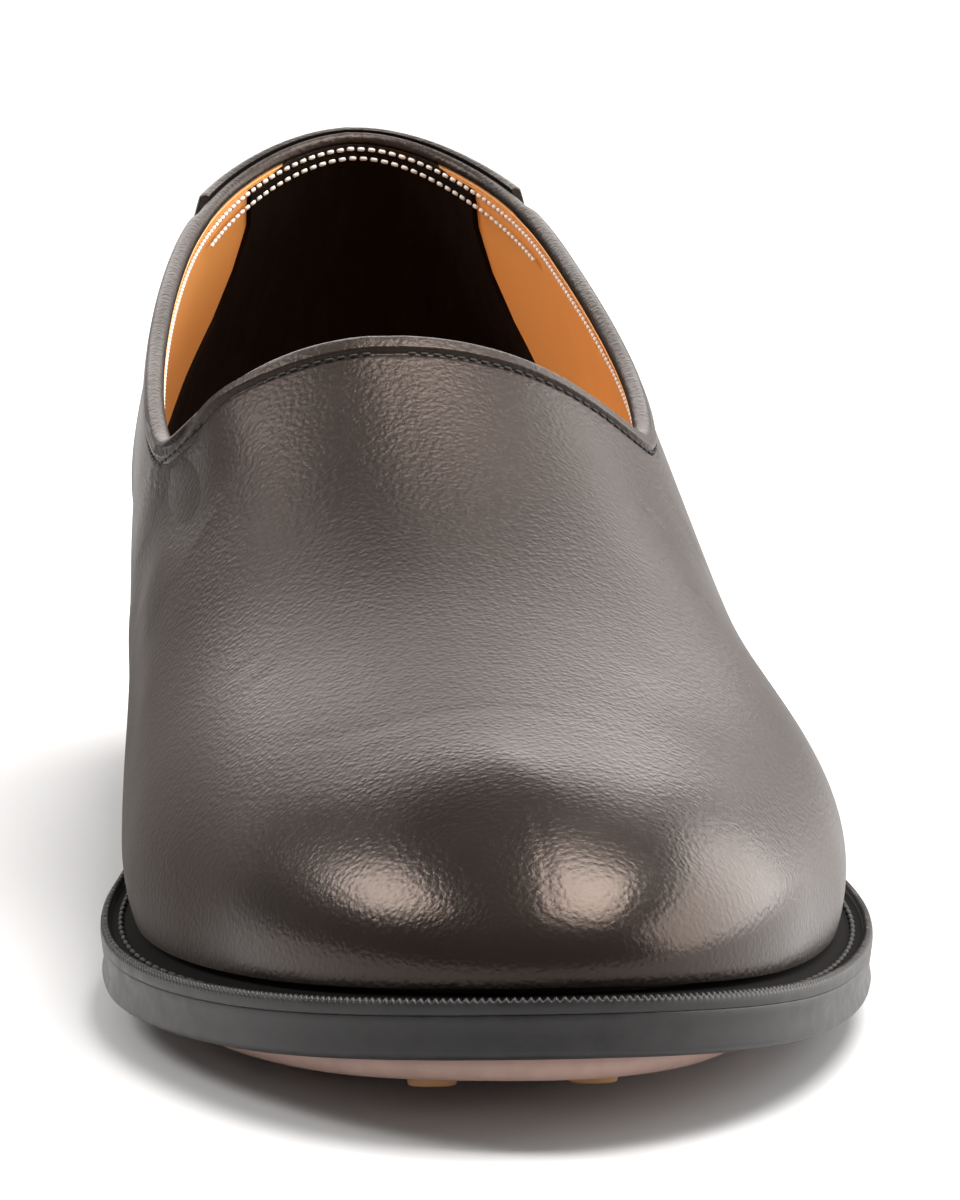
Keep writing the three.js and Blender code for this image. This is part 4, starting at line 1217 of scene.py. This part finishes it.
def welt_piece():
    top = WELT_TOP
    inner = inset_under(WELT_TUCK)
    # Each row of the welt's section: inset, height, share of the ribs' height.
    rows = [
        (even_inset(0.28), WELT_LEVEL - 0.02, 0),
        (even_inset(0.14), WELT_LEVEL + 0.15, 0),
        (even_inset(0.08), WELT_LEVEL + 0.8, 0),
        (even_inset(0.1), top - 1.6, 0.1),
        (even_inset(0.22), top - 1.15, 0.6),
        (even_inset(0.55), top - 0.85, 1),
        (even_inset(0.95), top - 0.8, 1),
        (even_inset(1.25), top - 1.0, 0.7),
        (even_inset(1.45), top - 1.5, 0),
        (share_inset(0.5), top - 1.7, 0),
        (share_inset(0.85), top - 1.6, 0),
        (share_inset(1.1), top - 0.7, 0),
        (inner, top - 0.7, 0),
        (inner, WELT_LEVEL, 0),
    ]
    loops = [loop_of(WELT_HALF, inset, steady(height)) for inset, height, rib in rows]
    walked = np.linalg.norm(np.diff(loops[WELT_RIB_LOOP], axis=0), axis=1).cumsum()
    walked = np.concatenate([[0], walked])
    turns = round(walked[-1] / RIB_PITCH)
    wave = np.cos(2 * math.pi * turns * walked / walked[-1])
    for loop, (inset, height, rib) in zip(loops, rows):
        loop[:, 2] += RIB_HEIGHT * rib * (wave - 0.5)
    grid = np.stack(loops, axis=1)
    faces = grid_faces(*grid.shape[:2], wrap_rows=True, wrap_columns=True)
    piece = mesh_piece("welt_strip", grid, faces, MAT_WELT, "welt", "welt", sharp_deg=60)
    # The ledge's faces inside the ribs take the black matte material: painted shade in the groove under
    # the upper.
    piece.data.materials.append(MAT_GROOVE_SHADE)
    columns = len(rows)
    for polygon in piece.data.polygons:
        if min(k % columns for k in polygon.vertices) >= WELT_SHADE_FROM:
            polygon.material_index = 1


welt_piece()


def welt_stitches():
    lines = []
    halves = np.linspace(0, 1, WELT_LINE_SAMPLES)
    for side in (MEDIAL, LATERAL):
        back = edge_inset(side, halves, 0.0)[:, 1]
        plan = edge_inset(side, halves, 0.62 * ledge(back))
        line = np.column_stack([plan, sole_under(plan[:, 1]) + WELT_TOP - 1.5])
        out = np.zeros_like(line)
        out[:, 2] = 1
        lines.append((line, out))
    pitch, *size = WELT_STITCH
    centres, along, out = join_lines(lines, pitch)
    stitch_piece("welt_stitches", centres, along, out, *size, MAT_DARK_THREAD, "welt")


welt_stitches()


def insole_piece():
    tucked = WELT_TUCK + CLEARANCE
    top = FEATHER_LEVEL + INSOLE_THICKNESS
    rows = [(tucked, WELT_LEVEL), (tucked, FEATHER_LEVEL), (INSOLE_GAP, FEATHER_LEVEL + 0.1)]
    rows += [(INSOLE_GAP + INSOLE_BEVEL * (1 - drop), top - drop) for drop in (0.8, 0.4, 0.15, 0.0)]
    loops = [loop_of(LOOP_HALF, inset_under(tuck), steady(height)) for tuck, height in rows]
    points, faces = plate(loops)
    mesh_piece("insole_sock_leather", points, faces, MAT_SOCK, "insole", "insole", sharp_deg=50)


insole_piece()


HEEL_COUNT = 110
BREAST_COUNT = 41
LIFTS = 4
# Each lift's side: share of its height, how far it is nicked in.
LIFT_SIDE = [(0.0, 0.22), (0.1, 0.02), (0.9, 0.02), (1.0, 0.22)]
HEEL_TAPER_TOP = 0.4
# The top piece's side: inset, height.
TOP_PIECE_SIDE = [
    (HEEL_TAPER + TOP_PIECE_BEVEL, 0),
    (HEEL_TAPER + 0.25, 0.35),
    (HEEL_TAPER, TOP_PIECE_BEVEL),
    (HEEL_TAPER, TOP_PIECE_THICKNESS - 0.2),
    (HEEL_TAPER + 0.2, TOP_PIECE_THICKNESS),
]


def heel_loop(inset, height):
    """The heel's outline at an inset: round the back, and across its hollow breast."""
    start = half_at(MEDIAL, inset, BREAST_BACK + inset / 2)
    end = half_at(LATERAL, inset, BREAST_BACK + inset / 2)
    shares = np.linspace(0, 1, HEEL_COUNT + 1)
    inner = edge_inset(MEDIAL, mix(start, 1, shares[:-1]), inset)
    outer = edge_inset(LATERAL, mix(end, 1, shares[::-1]), inset)
    across = np.linspace(0, 1, BREAST_COUNT)[1:-1, None]
    breast = mix(outer[-1], inner[0], across)
    breast[:, 1] += BREAST_HOLLOW * 4 * (across * (1 - across))[:, 0]
    plan = np.vstack([inner, outer, breast])
    return np.column_stack([plan, height(plan[:, 1])])


def heel_block(name, loops, material, slot, replaces):
    count = len(loops[0])
    faces = wall_faces(len(loops), count)
    faces.append(list(range(count))[::-1])
    faces.append([(len(loops) - 1) * count + i for i in range(count)])
    mesh_piece(name, np.vstack(loops), faces, material, slot, replaces, sharp_deg=45)


def lift_height(share):
    low = TOP_PIECE_THICKNESS + CLEARANCE
    return lambda back: mix(low, sole_under(back) - CLEARANCE, share)


def heel_pieces():
    loops = []
    for k in range(LIFTS):
        for up, nick in LIFT_SIDE:
            share = (k + up) / LIFTS
            inset = HEEL_TAPER * mix(1.0, HEEL_TAPER_TOP, share) + nick
            loops.append(heel_loop(inset, lift_height(share)))
    heel_block("heel_lifts", loops, MAT_HEEL, "heel_stack", "heel_stack")
    loops = [heel_loop(inset, steady(height)) for inset, height in TOP_PIECE_SIDE]
    heel_block("heel_rubber_piece", loops, MAT_HEEL_RUBBER, "heel_rubber", "heel_top_piece")


heel_pieces()


PAD_TOE_SHARE = 0.16
# The pad's side: share of its thickness, share of its rim's width.
PAD_SIDE = [(0, 1), (0.03, 0.72), (0.12, 0.42), (0.3, 0.14), (0.55, 0), (0.8, 0.02), (1, 0.15)]


def pad_inset(rim):
    """The pad's inset from the sole's edge: even at the toe, then each side's own."""
    even = (PAD_INSET[MEDIAL] + PAD_INSET[LATERAL]) / 2
    return lambda side, half, back: mix(even, PAD_INSET[side], smooth(0, PAD_TOE_SHARE, half)) + rim


def pad_piece():
    under = -CLEARANCE - PAD_THICKNESS
    loops = []
    for up, share in PAD_SIDE:
        rim = share * PAD_RIM
        end = float(half_at(MEDIAL, PAD_INSET[MEDIAL] + rim, PAD_END - rim))
        loops.append(loop_of(LOOP_HALF // 2, pad_inset(rim), steady(under + up * PAD_THICKNESS), end))
    points, faces = plate(loops)
    mesh_piece("pad_rubber_half", points, faces, MAT_PAD, "pad_rubber", "forefoot_pad", sharp_deg=50)


pad_piece()


def stud_places():
    margin = PAD_RIM + STUD_DIAMETER / 2 + STUD_MARGIN
    places = []
    back = FIRST_STUD_ROW
    while back < PAD_END - STUD_DIAMETER:
        limits = []
        for side in (MEDIAL, LATERAL):
            inset = margin + PAD_INSET[side]
            limits.append(float(edge_inset(side, half_at(side, inset, back), inset)[0]))
        count = math.floor((limits[1] - limits[0]) / STUD_SPACING) + 1
        first = (sum(limits) - (count - 1) * STUD_SPACING) / 2
        places += [(first + k * STUD_SPACING, back) for k in range(count)]
        back += STUD_SPACING
    return places


# A stud's section: share of its radius, share of its height below the pad.
STUD_PROFILE = [(0.0, -0.35), (1.0, -0.35), (1.0, 0.7), (0.95, 0.93), (0.86, 1.0), (0.0, 1.0)]
STUD_SIDES = 32


def stud_piece():
    sides = STUD_SIDES
    profile = STUD_PROFILE
    radius = STUD_DIAMETER / 2
    points = []
    faces = []
    for x, back in stud_places():
        slope = (sole_under(back + radius) - sole_under(back - radius)) / STUD_DIAMETER
        tall = STUD_HEIGHT * mix(UNWORN_STUD, 1, smooth(PAD_FRONT, SPRING_START, back))
        base = len(points)
        for size, drop in profile:
            for k in range(sides):
                angle = 2 * math.pi * k / sides
                dx = radius * size * math.cos(angle)
                dy = radius * size * math.sin(angle)
                height = sole_under(back) - CLEARANCE - PAD_THICKNESS + slope * dy - drop * tall
                points.append((x + dx, back + dy, height))
        for ring in range(len(profile) - 1):
            for k in range(sides):
                n = (k + 1) % sides
                a = base + ring * sides
                faces.append([a + k, a + sides + k, a + sides + n, a + n])
    mesh_piece("pad_studs", np.array(points), faces, MAT_STUD, "pad_rubber", sharp_deg=40)


stud_piece()


# Camera: the photograph's place and angle to the shoe, with the view drawn in to the one shoe.
CAMERA_AT = np.array([-135.5, -1364.8, 315.9])
CAMERA_AIM = np.array([3.4, 120.0, 50.9])
PHOTO_FOCAL = 5310.0
PHOTO_WIDTH = 960.0
ZOOM = 2.08


def camera():
    data = bpy.data.cameras.new("camera")
    data.sensor_fit = "HORIZONTAL"
    data.sensor_width = 36
    data.lens = PHOTO_FOCAL * ZOOM / PHOTO_WIDTH * data.sensor_width
    data.clip_end = 20
    eye = bpy.data.objects.new("camera", data)
    place = Vector(to_metres(CAMERA_AT)[0])
    aim = Vector(to_metres(CAMERA_AIM)[0])
    eye.location = place
    eye.rotation_euler = (aim - place).to_track_quat("-Z", "Y").to_euler()
    bpy.context.scene.collection.objects.link(eye)
    bpy.context.scene.camera = eye


camera()


# Studio: a pale floor, an even room, lit walls at the right and behind, and two soft boxes that the
# toe mirrors.
# Panels: name, elevation and azimuth from the toe (0 is ahead of it, 90 is on its outer side),
# distance and size in metres, radiance.
ROOM_LIGHT = 0.29
EXPOSURE = 0.28
FLOOR_REACH = 40.0
FLOOR_COLOUR = (0.6, 0.615, 0.63)
FLOOR_ROUGHNESS = 0.8
WARM = (1, 0.955, 0.92)
PANELS = [
    ("overhead_box", 73, 86, 1.5, (0.92, 0.85), 9.8),
    ("left_box", 44, -107, 1.6, (0.62, 0.6), 8.0),
    ("right_wall", 20, 108, 2.5, (3.2, 1.7), 3.1),
    ("rear_wall", 24, 178, 2.4, (2.0, 1.4), 1.9),
]
TOE = Vector((0, -0.12, 0.04))


def panel(name, elevation, azimuth, distance, size, radiance):
    data = bpy.data.lights.new(name, "AREA")
    data.shape = "RECTANGLE"
    data.size, data.size_y = size
    data.energy = 4 * radiance * size[0] * size[1]
    data.color = WARM
    up = math.radians(elevation)
    turn = math.radians(azimuth)
    away = Vector((math.cos(up) * math.sin(turn), -math.cos(up) * math.cos(turn), math.sin(up)))
    light = bpy.data.objects.new(name, data)
    light.location = TOE + away * distance
    light.rotation_euler = (-away).to_track_quat("-Z", "Y").to_euler()
    bpy.context.scene.collection.objects.link(light)


def studio():
    mesh = bpy.data.meshes.new("floor")
    reach = FLOOR_REACH
    corners = [(-reach, -reach, 0), (reach, -reach, 0), (reach, reach, 0), (-reach, reach, 0)]
    mesh.from_pydata(corners, [], [(0, 1, 2, 3)])
    mesh.materials.append(shader("pale_floor", FLOOR_COLOUR, FLOOR_ROUGHNESS))
    floor = bpy.data.objects.new("floor", mesh)
    bpy.context.scene.collection.objects.link(floor)
    world = bpy.data.worlds.new("studio")
    world.use_nodes = True
    background = world.node_tree.nodes["Background"]
    background.inputs["Color"].default_value = (*WARM, 1)
    background.inputs["Strength"].default_value = ROOM_LIGHT
    bpy.context.scene.world = world
    for row in PANELS:
        panel(*row)
    settings = bpy.context.scene.view_settings
    settings.view_transform = "Standard"
    settings.look = "None"
    settings.exposure = EXPOSURE


studio()
